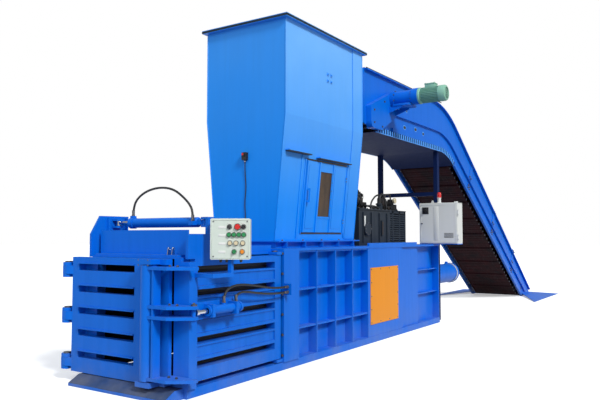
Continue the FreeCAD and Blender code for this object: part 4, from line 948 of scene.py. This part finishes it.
class BALER_OT_power_pack(bpy.types.Operator):
    """Build the pump motor, the valve bank with its pipes, and the tank's fittings."""

    bl_idname = "baler.power_pack"
    bl_label = "Power pack"

    def execute(self, context):
        self.pump()
        self.guard()
        self.valves()
        self.relief_valves()
        self.tank_fittings()
        return {"FINISHED"}

    def pump(self):
        """The finned motor on its feet, the bell and the pump before it."""
        motor = Form()
        y, z = -0.04, 1.73
        motor.lathe((2.5, y, z), REAR, [(0, 0.08), (0.004, 0.14), (0.05, 0.168)], 40)
        finned_barrel(motor, (2.545, y, z), REAR, 0.3, 0.152, 0.176, 36)
        motor.lathe((2.845, y, z), REAR, [(0, 0.17), (0.01, 0.187), (0.05, 0.187), (0.055, 0.16),
                                          (0.06, 0.12), (0.16, 0.108), (0.17, 0.112), (0.18, 0.112)], 40)
        motor.lathe((3.025, y, z), REAR, [(0, 0.1), (0.02, 0.1), (0.03, 0.078), (0.18, 0.078),
                                          (0.2, 0.05), (0.2, 0.0)], 8)
        motor.block((2.62, y - 0.08, z + 0.165), (2.8, y + 0.08, z + 0.19), 0.006)
        for x in (2.56, 2.8):
            motor.plate([(-0.23, PACK_FLOOR), (0.15, PACK_FLOOR), (0.15, 1.42), (0.1, 1.44), (0.07, 1.63),
                         (-0.15, 1.63), (-0.18, 1.44), (-0.23, 1.42)], X, x - 0.03, x + 0.03)
        motor.done("pump_set", "pack_slate", replaced=("pump_motor",))

    def guard(self):
        """The louvred sheet guard round the pump motor."""
        guard = Form()
        x0, x1, y0, y1, top, thick = 2.45, 3.28, -0.29, 0.19, GUARD_TOP, 0.006
        for y in (y0, y1 - thick):
            for low, high in ((PACK_FLOOR, 1.455), (top - 0.05, top)):
                guard.block((x0, y, low), (x1, y + thick, high), 0.002)
            for x in (x0, 2.72, 2.99, x1 - 0.05):
                guard.block((x, y, PACK_FLOOR), (x + 0.05, y + thick, top), 0.002)
            for z in (1.475 + 0.038 * k for k in range(12)):
                guard.plate([(y - 0.004, z), (y + 0.008, z + 0.026), (y + 0.01, z + 0.024), (y, z - 0.002)],
                            X, x0 + 0.03, x1 - 0.03)
        for x in (x0, x1 - thick):
            guard.block((x, y0, PACK_FLOOR), (x + thick, y1, top), 0.002)
        guard.block((x0 - thick, y0 - thick, top - 0.004), (x1 + thick, y1 + thick, top + thick))
        guard.done("pump_guard", "pack_slate")

    def valves(self):
        """The manifold with four solenoid valves, their coils, gauges and pipes."""
        bank, pale, pipes = Form(), Form(), Form()
        bank.block((1.56, -0.16, 1.975), (2.02, 0.12, 2.1), 0.005)
        for x in (1.61 + 0.105 * k for k in range(4)):
            bank.block((x - 0.038, -0.125, 2.1), (x + 0.038, 0.085, 2.172), 0.005)
            for y in (-0.088, 0.048):
                bank.lathe((x, y, 2.172), UP, [(0, 0.033), (0.006, 0.035), (0.07, 0.035), (0.076, 0.028),
                                               (0.078, 0.012), (0.1, 0.012)], 20)
                bank.block((x - 0.022, y - 0.05, 2.19), (x + 0.022, y - 0.02, 2.232), 0.004)
            for level in (2.0, 2.05):
                bank.lathe((x, -0.16, level), NEAR, [(0, 0.018), (0.012, 0.018), (0.014, 0.015)], 6)
        bank.done("valve_bank", "valve_steel", replaced=("valve_block",))
        pale.lathe((1.985, -0.05, 2.195), NEAR, [(0, 0.05), (0.02, 0.052), (0.05, 0.052), (0.054, 0.046)], 28)
        pale.block((1.7, -0.178, 2.125), (1.8, -0.16, 2.185))
        pale.block((1.44, -0.426, 1.7), (1.48, TANK_FRONT, 1.86))
        pale.done("gauge_and_level", "cabinet_grey")
        for x, far, top in ((1.6, 1.42, 2.27), (1.66, 1.36, 2.2)):
            pipes.bent_pipe([(x, -0.16, 2.03), (x - 0.02, -0.24, 2.06), (x - 0.06, -0.27, top),
                             (far, -0.27, top), (far - 0.04, -0.27, 2.02), (far - 0.04, -0.27, 1.972)], 0.014)
        for k, x in enumerate((1.82, 1.93)):
            pipes.bent_pipe([(x, -0.172, 2.03), (x, -0.27, 2.04), (x + 0.15, -0.3, 2.0 + 0.03 * k),
                             (2.34 + 0.05 * k, -0.3, 1.95), (2.4 + 0.05 * k, -0.3, 1.7),
                             (2.62, -0.24, 1.52), (3.05, -0.16, 1.6), (3.1, -0.1, 1.68)], 0.015)
        pipes.done("pack_pipes", "hose_rubber")

    def relief_valves(self):
        """The relief valve, filter head and gauge on the guard's top, with their bent pipes."""
        foot = RELIEF_FOOT
        body, gauge, pipes = Form(), Form(), Form()
        body.block((2.52, -0.24, foot), (2.82, -0.02, foot + 0.07), 0.006)
        for x, tall in ((2.56, 0.16), (2.66, 0.21), (2.76, 0.13)):
            body.lathe((x, -0.13, foot + 0.07), UP, [(0, 0.036), (0.01, 0.042), (tall - 0.03, 0.042),
                                                     (tall - 0.02, 0.03), (tall, 0.03)])
            body.lathe((x, -0.24, foot + 0.035), NEAR, [(0, 0.02), (0.014, 0.02), (0.018, 0.014)], 6)
        body.block((2.86, -0.22, foot), (3.06, -0.06, foot + 0.11), 0.008)
        body.lathe((2.96, -0.14, foot + 0.11), UP, [(0, 0.06), (0.05, 0.06), (0.06, 0.05), (0.09, 0.05)], 28)
        body.done("relief_valves", "valve_steel")
        gauge.lathe((2.9, -0.235, foot + 0.17), NEAR,
                    [(0, 0.045), (0.03, 0.05), (0.034, 0.046), (0.034, 0.0)], 28)
        gauge.done("pressure_gauge", "beige_plastic")
        for radius, *line in RELIEF_PIPES:
            pipes.bent_pipe(line, radius)
        pipes.done("relief_pipes", "hose_rubber")

    def tank_fittings(self):
        """Lid bolts, filler cap, cleaning cover and sight glass."""
        steel, dark, glass = Form(), Form(), Form()
        for k, y in product(range(9), (-0.405, 0.355)):
            steel.bolt((1.3 + 0.1375 * k, y, 1.975), UP, 0.018)
        dark.lathe((1.55, TANK_FRONT, 1.66), NEAR, [(0, 0.11), (0.012, 0.11), (0.016, 0.105)], 36)
        for x, z in circle(8, 0.092):
            steel.bolt((1.55 + x, -0.434, 1.66 + z), NEAR, 0.016)
        dark.lathe((2.23, -0.28, 2.06), UP, [(0, 0.046), (0.004, 0.054), (0.024, 0.054), (0.03, 0.046)], 12)
        dark.block((2.05, -0.428, 1.55), (2.085, -0.4, 1.8), 0.004)
        dark.done("tank_covers", "pack_slate")
        steel.done("tank_bolts", "pin_steel")
        glass.block((2.058, -0.432, 1.57), (2.077, -0.426, 1.78), 0.002)
        glass.done("oil_sight_glass", "window_brown")


# --- electric cabinet


CABINET_FACE = 3.484


class BALER_OT_cabinet(bpy.types.Operator):
    """Add the cabinet's switch plate, vents, lifting lug and the beacon's stem and lens."""

    bl_idname = "baler.cabinet"
    bl_label = "Electric cabinet"

    def execute(self, context):
        face, under = CABINET_FACE, CABINET_FACE + 0.001
        leaf, dark, top, stem, lens = (Form() for _ in range(5))
        leaf.bead_round(box_outline(-1.14, 1.445, -0.495, 2.1), X, face - 0.004, under, 0.004, 0.0015)
        leaf.block((face - 0.003, -0.83, 1.47), (under, -0.74, 2.075), 0.001)
        leaf.done("cabinet_door_beads", "cabinet_grey", "cabinet_door")
        dark.block((face - 0.006, -0.645, 1.94), (under, -0.525, 2.06), 0.002)
        for k in range(5):
            dark.block((face - 0.003, -1.1, 1.52 + 0.018 * k), (under, -0.93, 1.527 + 0.018 * k), 0.001)
        dark.lathe((face, -0.52, 1.77), FRONT, [(0, 0.012), (0.012, 0.012), (0.014, 0.01)], 16)
        dark.done("switch_plate_and_vents", "black_plastic", "cabinet_door")
        top.block((3.512, -0.745, 2.128), (3.552, -0.665, 2.136), 0.002)
        top.plate([(-0.735, 2.132), (-0.675, 2.132), (-0.692, 2.178), (-0.7, 2.184), (-0.71, 2.184),
                   (-0.718, 2.178)], X, 3.526, 3.536)
        top.block((3.7, -1.1, 2.128), (3.735, -1.04, 2.165))
        top.block((3.495, -1.17, 2.122), (3.75, -0.465, 2.136))
        top.done("cabinet_top", "cabinet_grey")
        beacon = (3.56, -0.8175, 2.13)
        stem.lathe(beacon, UP, [(0, 0.046), (0.012, 0.046), (0.018, 0.03), (0.085, 0.03), (0.09, 0.036),
                                (0.1, 0.036)])
        stem.done("beacon_stem", "cabinet_grey")
        rib = ((0.104, 0.036), (0.113, 0.036), (0.116, 0.0345))
        ribs = [(t + 0.014 * k, r) for k in range(5) for t, r in rib]
        lens.lathe(beacon, UP, [(0.1, 0.034), *ribs, (0.182, 0.033), (0.194, 0.024), (0.2, 0.0)], 28)
        lens.done("beacon_lens", "beacon_red", replaced=("beacon",))
        return {"FINISHED"}


# --- push-button box


BOX_FACE = -0.07
BUTTON_ROWS = {0.118: (-0.008, 0.07, 0.129), 0.041: (-0.012, 0.036, 0.084, 0.132),
               -0.041: (-0.003, 0.057, 0.122), -0.124: (0.117, 0.039)}
BUTTON_SPOTS = [(x, z) for z, row in BUTTON_ROWS.items() for x in row]


class BALER_OT_button_box(bpy.types.Operator):
    """Add the box's lid seam, screws, cable glands, bezels and plain label plates."""

    bl_idname = "baler.button_box"
    bl_label = "Button box"

    def execute(self, context):
        place = Matrix.Translation((-2.446, -0.975, 1.52)) @ Matrix.Rotation(math.radians(-56.7), 4, "Z")
        lid, steel, dark, labels = (Form(place) for _ in range(4))
        lid.bead_round(box_outline(-0.18, -0.185, 0.18, 0.185), Y, -0.074, -0.069, 0.004, 0.002)
        lid.done("box_lid_bead", "box_grey")
        for number, (x, z) in enumerate(BUTTON_SPOTS):
            grow = 0.009 if number == 1 else 0.0  # the emergency stop
            ring = ((0, 0.0255), (0.005, 0.0255), (0.007, 0.0235), (0.007, 0.0215), (0, 0.0215))
            steel.lathe((x, BOX_FACE, z), NEAR, [(t, r + grow) for t, r in ring], 28, hollow=True)
        for x, z in product((-0.165, 0.165), (-0.17, 0.17)):
            steel.lathe((x, BOX_FACE, z), NEAR, [(0, 0.008), (0.004, 0.007)], 14)
        steel.done("button_bezels", "pin_steel")
        for x in (-0.1, -0.04, 0.1):
            dark.disc((x, 0.0, -0.2), DOWN, 0.016, 0.012, 6)
            dark.lathe((x, 0.0, -0.212), DOWN, [(0, 0.014), (0.016, 0.011), (0.018, 0.007)], 16)
        dark.lathe((-0.008, -0.086, 0.118), NEAR, [(0, 0.019), (0.006, 0.017), (0.009, 0.01), (0.01, 0)], 20)
        dark.done("box_glands", "black_plastic")
        for x, z in BUTTON_SPOTS:
            labels.block((x - 0.018, -0.0725, z + 0.029), (x + 0.018, -0.069, z + 0.037), 0.0008)
        for z in (0.115, 0.035, -0.045, -0.125):
            labels.block((-0.115, -0.0725, z - 0.012), (-0.045, -0.069, z + 0.012), 0.001)
        labels.done("blank_labels", "cabinet_grey")
        return {"FINISHED"}


# --- hopper


FOOT, FOOT_Z, BEND_Z, WALL = 0.47, 1.49, 3.05, 0.63
RIM_LOW, RIM_TOP = 4.234, 4.262
LEAN = math.atan((WALL - FOOT) / (BEND_Z - FOOT_Z))


def sloping_wall():
    """Placement of the sloping near wall: x along it, y out of it, z up it."""
    out = Vector((0, -math.cos(LEAN), -math.sin(LEAN)))
    up = Vector((0, -math.sin(LEAN), math.cos(LEAN)))
    return Matrix.Translation((0, -FOOT, FOOT_Z)) @ Matrix((Vector(REAR), out, up)).transposed().to_4x4()


class BALER_OT_hopper(bpy.types.Operator):
    """Add the hopper's seams, painted shadow strips at its door, window frame, screws, corner welds, a dark
    band of painted shade under the rim, and lugs.
    """

    bl_idname = "baler.hopper"
    bl_label = "Hopper trim"

    def execute(self, context):
        self.near_wall()
        self.rim_and_corners()
        return {"FINISHED"}

    def near_wall(self):
        """Seams of the sloping wall, dark strips as painted shadow along the top and foot of its inspection
        door, and the door's frame and screws.
        """
        seams, dark, door, screws = (Form(sloping_wall()) for _ in range(4))
        for x in (-0.55, 0.668):
            seams.block((x - 0.016, 0.0, 0.03), (x + 0.016, 0.01, 1.1))
        seams.block((-0.478, 0.0, 0.09), (-0.456, 0.012, 1.06), 0.002)
        seams.done("hopper_seams", "hopper_blue")
        # black strips: painted shadow under the ledge and along the door's foot
        for z in (0.085, 1.045):
            dark.block((-0.47, 0.0, z), (0.6, 0.006, z + 0.021), 0.002)
        dark.done("door_shadow_strips", "black_plastic")
        for x0, x1, z0, z1 in ((-0.136, -0.108, 0.296, 0.944), (0.188, 0.216, 0.296, 0.944),
                               (-0.136, 0.216, 0.296, 0.322), (-0.136, 0.216, 0.918, 0.944)):
            door.block((x0, 0.018, z0), (x1, 0.026, z1), 0.002)
        for x0, x1 in ((-0.4, -0.19), (0.26, 0.54)):
            door.block((x0, 0.019, 0.16), (x1, 0.024, 0.98), 0.002)
        door.done("window_frame", "hopper_blue", "hopper_door", smooth=20)
        for k, x in product(range(6), (-0.122, 0.202)):
            screws.lathe((x, 0.026, 0.33 + 0.115 * k), FAR, [(0, 0.007), (0.003, 0.006), (0.004, 0)], 12)
        for low, up in product((0.23, 0.82), (0.015, 0.055)):
            screws.bolt((0.58, 0.029, low + up), FAR, 0.014)
        screws.done("door_screws", "pin_steel", "hopper_door")

    def rim_and_corners(self):
        """Lifting lugs, corner welds, a dark band of painted shade under the rim, black strips of painted
        shadow under the ledges, and the photo-eye's ends.
        """
        lugs, beads, rim, seal, lens, tail = (Form() for _ in range(6))
        for x, z in product((-0.02, 0.07), (3.62, 3.71)):
            lugs.block((x, -0.64, z), (x + 0.03, -WALL, z + 0.04))
            lugs.lathe((x + 0.015, -0.64, z + 0.02), NEAR, [(0, 0.013), (0.014, 0.011)], 16)
        lugs.done("hopper_lugs", "hopper_blue")
        for x, sign in product((-1.0, 0.99), BOTH):
            beads.tube([(x, sign * FOOT, FOOT_Z + 0.006), (x, sign * WALL, BEND_Z), (x, sign * WALL, 4.2)],
                       0.58 * settings()[1].bead, 8)
        beads.done("hopper_corner_welds", "hopper_blue")
        # a dark band: painted shade under the rim's flange
        for x0, y0, x1, y1 in ((-1.058, -0.688, 1.048, -0.682), (-1.058, 0.682, 1.048, 0.688),
                               (-1.058, -0.688, -1.052, 0.688), (1.042, -0.688, 1.048, 0.688)):
            rim.block((x0, y0, RIM_LOW), (x1, y1, RIM_TOP), 0.002)
        rim.done("hopper_rim_shade_band", "pack_slate")
        # black strips: painted shadow under the ledges
        for x0, x1, z in ((-0.94, -0.42, 2.586), (-0.22, 0.64, 2.556)):
            seal.block((x0, -0.648, z), (x1, -0.59, z + 0.014), 0.002)
        seal.done("ledge_shadow_strips", "black_plastic")
        lens.lathe((-1.058, -0.01, 2.575), FRONT,
                   [(0, 0.016), (0.004, 0.016), (0.006, 0.012), (0.007, 0)], 18)
        lens.done("photo_eye_lamp", "red_plastic")
        tail.lathe((-1.02, -0.02, 2.505), DOWN, [(0, 0.012), (0.02, 0.012), (0.024, 0.008)], 16)
        tail.done("photo_eye_plug", "cabinet_grey")


# --- press body


SCREW = ((0, 0.011), (0.003, 0.0105), (0.006, 0.007), (0.007, 0))
CYLINDER_Z = 0.75


class BALER_OT_bolts(bpy.types.Operator):
    """Bolt the cover plate, the flanges and the cylinder's head, and add its ring and the lifting eyes."""

    bl_idname = "baler.bolts"
    bl_label = "Bolts and eyes"

    def execute(self, context):
        bolts, eyes, band = Form(), Form(), Form()
        round_cover = [*product((1.065, 1.36, 1.66, 1.96), (0.287, 1.06)),
                       *((x, z) for z in (0.48, 0.67, 0.87) for x in (1.065, 1.96))]
        for x, z in round_cover:
            bolts.lathe((x, -0.73, z), NEAR, SCREW, 16)
        for k, y in product(range(6), (-0.728, 0.728)):
            for x, axis in ((-1.2, FRONT), (-0.88, REAR)):
                bolts.bolt((x, y, 0.17 + 0.235 * k), axis, 0.026)
        for y, z in circle(12, 0.245):
            bolts.bolt((2.45, y, CYLINDER_Z + z), FRONT, 0.026)
        for k, y in product(range(5), (-0.54, 0.54)):
            bolts.bolt((-0.94 + 0.46 * k, y, FOOT_Z), UP, 0.022)
        bolts.done("body_bolts", "pin_steel")
        for x in (-2.775, -2.715):
            eyes.eye((x, -0.46, 1.364), 0.03, 0.075, 0.008)
        eyes.done("lifting_eyes", "rod_chrome")
        band.lathe((6.15, 0, CYLINDER_Z), REAR, [(0, 0.204), (0, 0.214), (0.03, 0.214), (0.03, 0.204)], 48,
                   hollow=True)
        band.done("cylinder_ring", "cabinet_grey")
        return {"FINISHED"}


# --- bale door and chamber


GUIDE = 0.5942  # inner face of a chamber wall
RIB = ((GUIDE, 0.006), (0.606, 0.003), (0.606, -0.003), (GUIDE, -0.006))
STRAP_LEVELS = (1.22, 0.99, 0.76, 0.53, 0.3)


class BALER_OT_door(bpy.types.Operator):
    """Add the screws of lock and bearings, the walls' strap guides in dark rubber as painted shade, the
    door's seal and a sill plate painted darker as shade.
    """

    bl_idname = "baler.door"
    bl_label = "Bale door"

    def execute(self, context):
        lock, caps, seal, sill = (Form() for _ in range(4))
        lock.lathe((-2.816, -0.835, 0.89), UP, [(0, 0.03), (0.012, 0.03), (0.016, 0.026)], 28)
        lock.lathe((-2.816, -0.835, 0.906), UP, [(0, 0.014), (0.012, 0.013), (0.014, 0.008)], 6)
        for z, y in product((0.21, 0.89, 1.256), (-0.6, -0.7)):
            lock.bolt((-2.9, y, z), UP, 0.024)
        lock.done("claw_bolts", "pin_steel", "lock_shaft")
        for y, z in product((-0.43, -0.3), (1.27, 1.318)):
            caps.lathe((-3.021, y, z), FRONT, [(0, 0.008), (0.004, 0.007), (0.005, 0.0)], 14)
        caps.done("bearing_screws", "pin_steel", "door")
        for body, sign in (("far_wall", 1), ("near_wall", -1)):
            self.strap_shade_guides(body, sign)
        seal.plate([(-2.8058, 0.7), (-2.8032, 0.704), (-2.8032, 0.79), (-2.8058, 0.794)], Z, 0.2, 1.3)
        seal.done("door_edge_seal", "body_blue", "door")
        sill.plate([(-3.04, 0.031), (-2.912, 0.0985), (-2.8, 0.0985), (-2.8, 0.1015), (-2.913, 0.1015),
                    (-3.04, 0.034)], Y, -0.685, 0.695)
        sill.block((-3.0395, -0.685, 0.001), (-3.0365, 0.695, 0.031), 0)
        # a thin plate on the sill, painted darker as shade on its top
        dress(sill.done("sill_shade_plate", "body_blue"), "body_blue", "sill_slate")
        return {"FINISHED"}

    def strap_shade_guides(self, body, sign):
        """A wall's dark rubber sheet, painted shade inside the chamber, with a rib over and under each
        strap's slot.
        """
        strips = Form()
        outline = [(sign * y, z) for y, z in box_outline(GUIDE, 0.134, 0.5912, 1.325)]
        for z, side in product(STRAP_LEVELS, (0.016, -0.016)):
            outline += [(sign * y, z + side + lift) for y, lift in RIB]
        strips.plate(outline, X, -2.67, -1.25)
        # dark rubber stands in for the shade inside the chamber
        strips.done("strap_shade_guides_" + body, "hose_rubber", body)


# --- stage


EYE = Vector((-7.349, -5.01, 1.55))
TURN = tuple(math.radians(a) for a in (93.21, 0.0, -56.69))
LENS = 38.41


class BALER_OT_stage(bpy.types.Operator):
    """Set the floor, the soft light and the camera at the photograph's viewing angle."""

    bl_idname = "baler.stage"
    bl_label = "Stage"

    def execute(self, context):
        self.floor()
        self.light()
        camera = bpy.data.cameras.new("camera")
        camera.lens, camera.sensor_width, camera.clip_end = LENS, 36, 300
        eye = bpy.data.objects.new("camera", camera)
        eye.location, eye.rotation_euler = EYE, TURN
        context.scene.collection.objects.link(eye)
        context.scene.camera = eye
        context.scene.view_settings.view_transform = "Standard"
        return {"FINISHED"}

    def floor(self):
        """A wide pale floor, brighter to the eye than in the light it gives back."""
        bm = bmesh.new()
        bmesh.ops.create_grid(bm, x_segments=1, y_segments=1, size=90)
        floor = bpy.data.objects.new("floor", mesh_of(bm, "floor"))
        floor.location = (2.0, 0, -0.002)
        bpy.context.scene.collection.objects.link(floor)
        tree = Finish("pale_floor")
        seen = tree.add("LightPath").outputs
        direct = tree.math("MAXIMUM", seen["Is Camera Ray"], seen["Is Glossy Ray"])
        tree.finished({"Base Color": tree.mix(direct, (0.35, 0.35, 0.36), (0.9, 0.9, 0.9)), "Roughness": 0.9})
        glow = tree.add("Emission", {"Color": (1, 1, 1, 1), "Strength": tree.times(direct, 0.35)})
        both = tree.add("AddShader", {0: tree.shader.outputs[0], 1: glow.outputs[0]})
        tree.feed(tree.tree.nodes["Material Output"], {"Surface": both.outputs[0]})
        floor.data.materials.append(tree.material)

    def light(self):
        """A soft sky that looks white, and two suns."""
        scene = bpy.context.scene
        scene.world = bpy.data.worlds.new("soft_sky")
        scene.world.use_nodes = True
        sky, nodes = Tree(scene.world.node_tree), scene.world.node_tree.nodes
        behind = sky.feed(nodes["Background"], {"Color": (0.9, 0.95, 1.0, 1), "Strength": 0.5})
        white = sky.add("Background", {"Color": (1, 1, 1, 1), "Strength": 1.0})
        seen = sky.add("LightPath").outputs
        direct = sky.math("MAXIMUM", seen["Is Camera Ray"], seen["Is Transmission Ray"])
        shown = sky.add("MixShader", {0: direct, 1: behind.outputs[0], 2: white.outputs[0]})
        sky.feed(nodes["World Output"], {"Surface": shown.outputs[0]})
        for name, strength, tilt, soft in (("key", 2.7, (52, 0, -20), 12), ("fill", 0.8, (60, 0, -80), 40)):
            lamp = bpy.data.lights.new(name, "SUN")
            lamp.energy, lamp.angle = strength, math.radians(soft)
            holder = bpy.data.objects.new(name, lamp)
            holder.rotation_euler = tuple(math.radians(a) for a in tilt)
            scene.collection.objects.link(holder)


OPERATORS = (BALER_OT_stage, BALER_OT_finishes, BALER_OT_hoses, BALER_OT_hose_ends, BALER_OT_belt,
             BALER_OT_conveyor, BALER_OT_drive, BALER_OT_power_pack, BALER_OT_cabinet, BALER_OT_button_box,
             BALER_OT_hopper, BALER_OT_bolts, BALER_OT_door)


class BALER_PT_panel(bpy.types.Panel):
    """Lists the steps that dress the baler, with their settings."""

    bl_idname = "BALER_PT_panel"
    bl_label = "Recycling baler"
    bl_space_type = "VIEW_3D"
    bl_region_type = "UI"
    bl_category = "Baler"

    def draw(self, context):
        for operator in OPERATORS:
            self.layout.operator(operator.bl_idname)
        for group in settings():
            for key in group.__annotations__:
                self.layout.prop(group, key)


CLASSES = (BalerPaint, BalerSizes, *OPERATORS, BALER_PT_panel)


def register():
    for kind in CLASSES:
        bpy.utils.register_class(kind)
    bpy.types.Scene.baler_paint = bpy.props.PointerProperty(type=BalerPaint)
    bpy.types.Scene.baler_sizes = bpy.props.PointerProperty(type=BalerSizes)


def unregister():
    del bpy.types.Scene.baler_sizes
    del bpy.types.Scene.baler_paint
    for kind in reversed(CLASSES):
        bpy.utils.unregister_class(kind)


def main():
    register()
    for operator in OPERATORS:
        group, step = operator.bl_idname.split(".")
        getattr(getattr(bpy.ops, group), step)()
    bpy.context.view_layer.update()


if __name__ == "__main__":
    main()
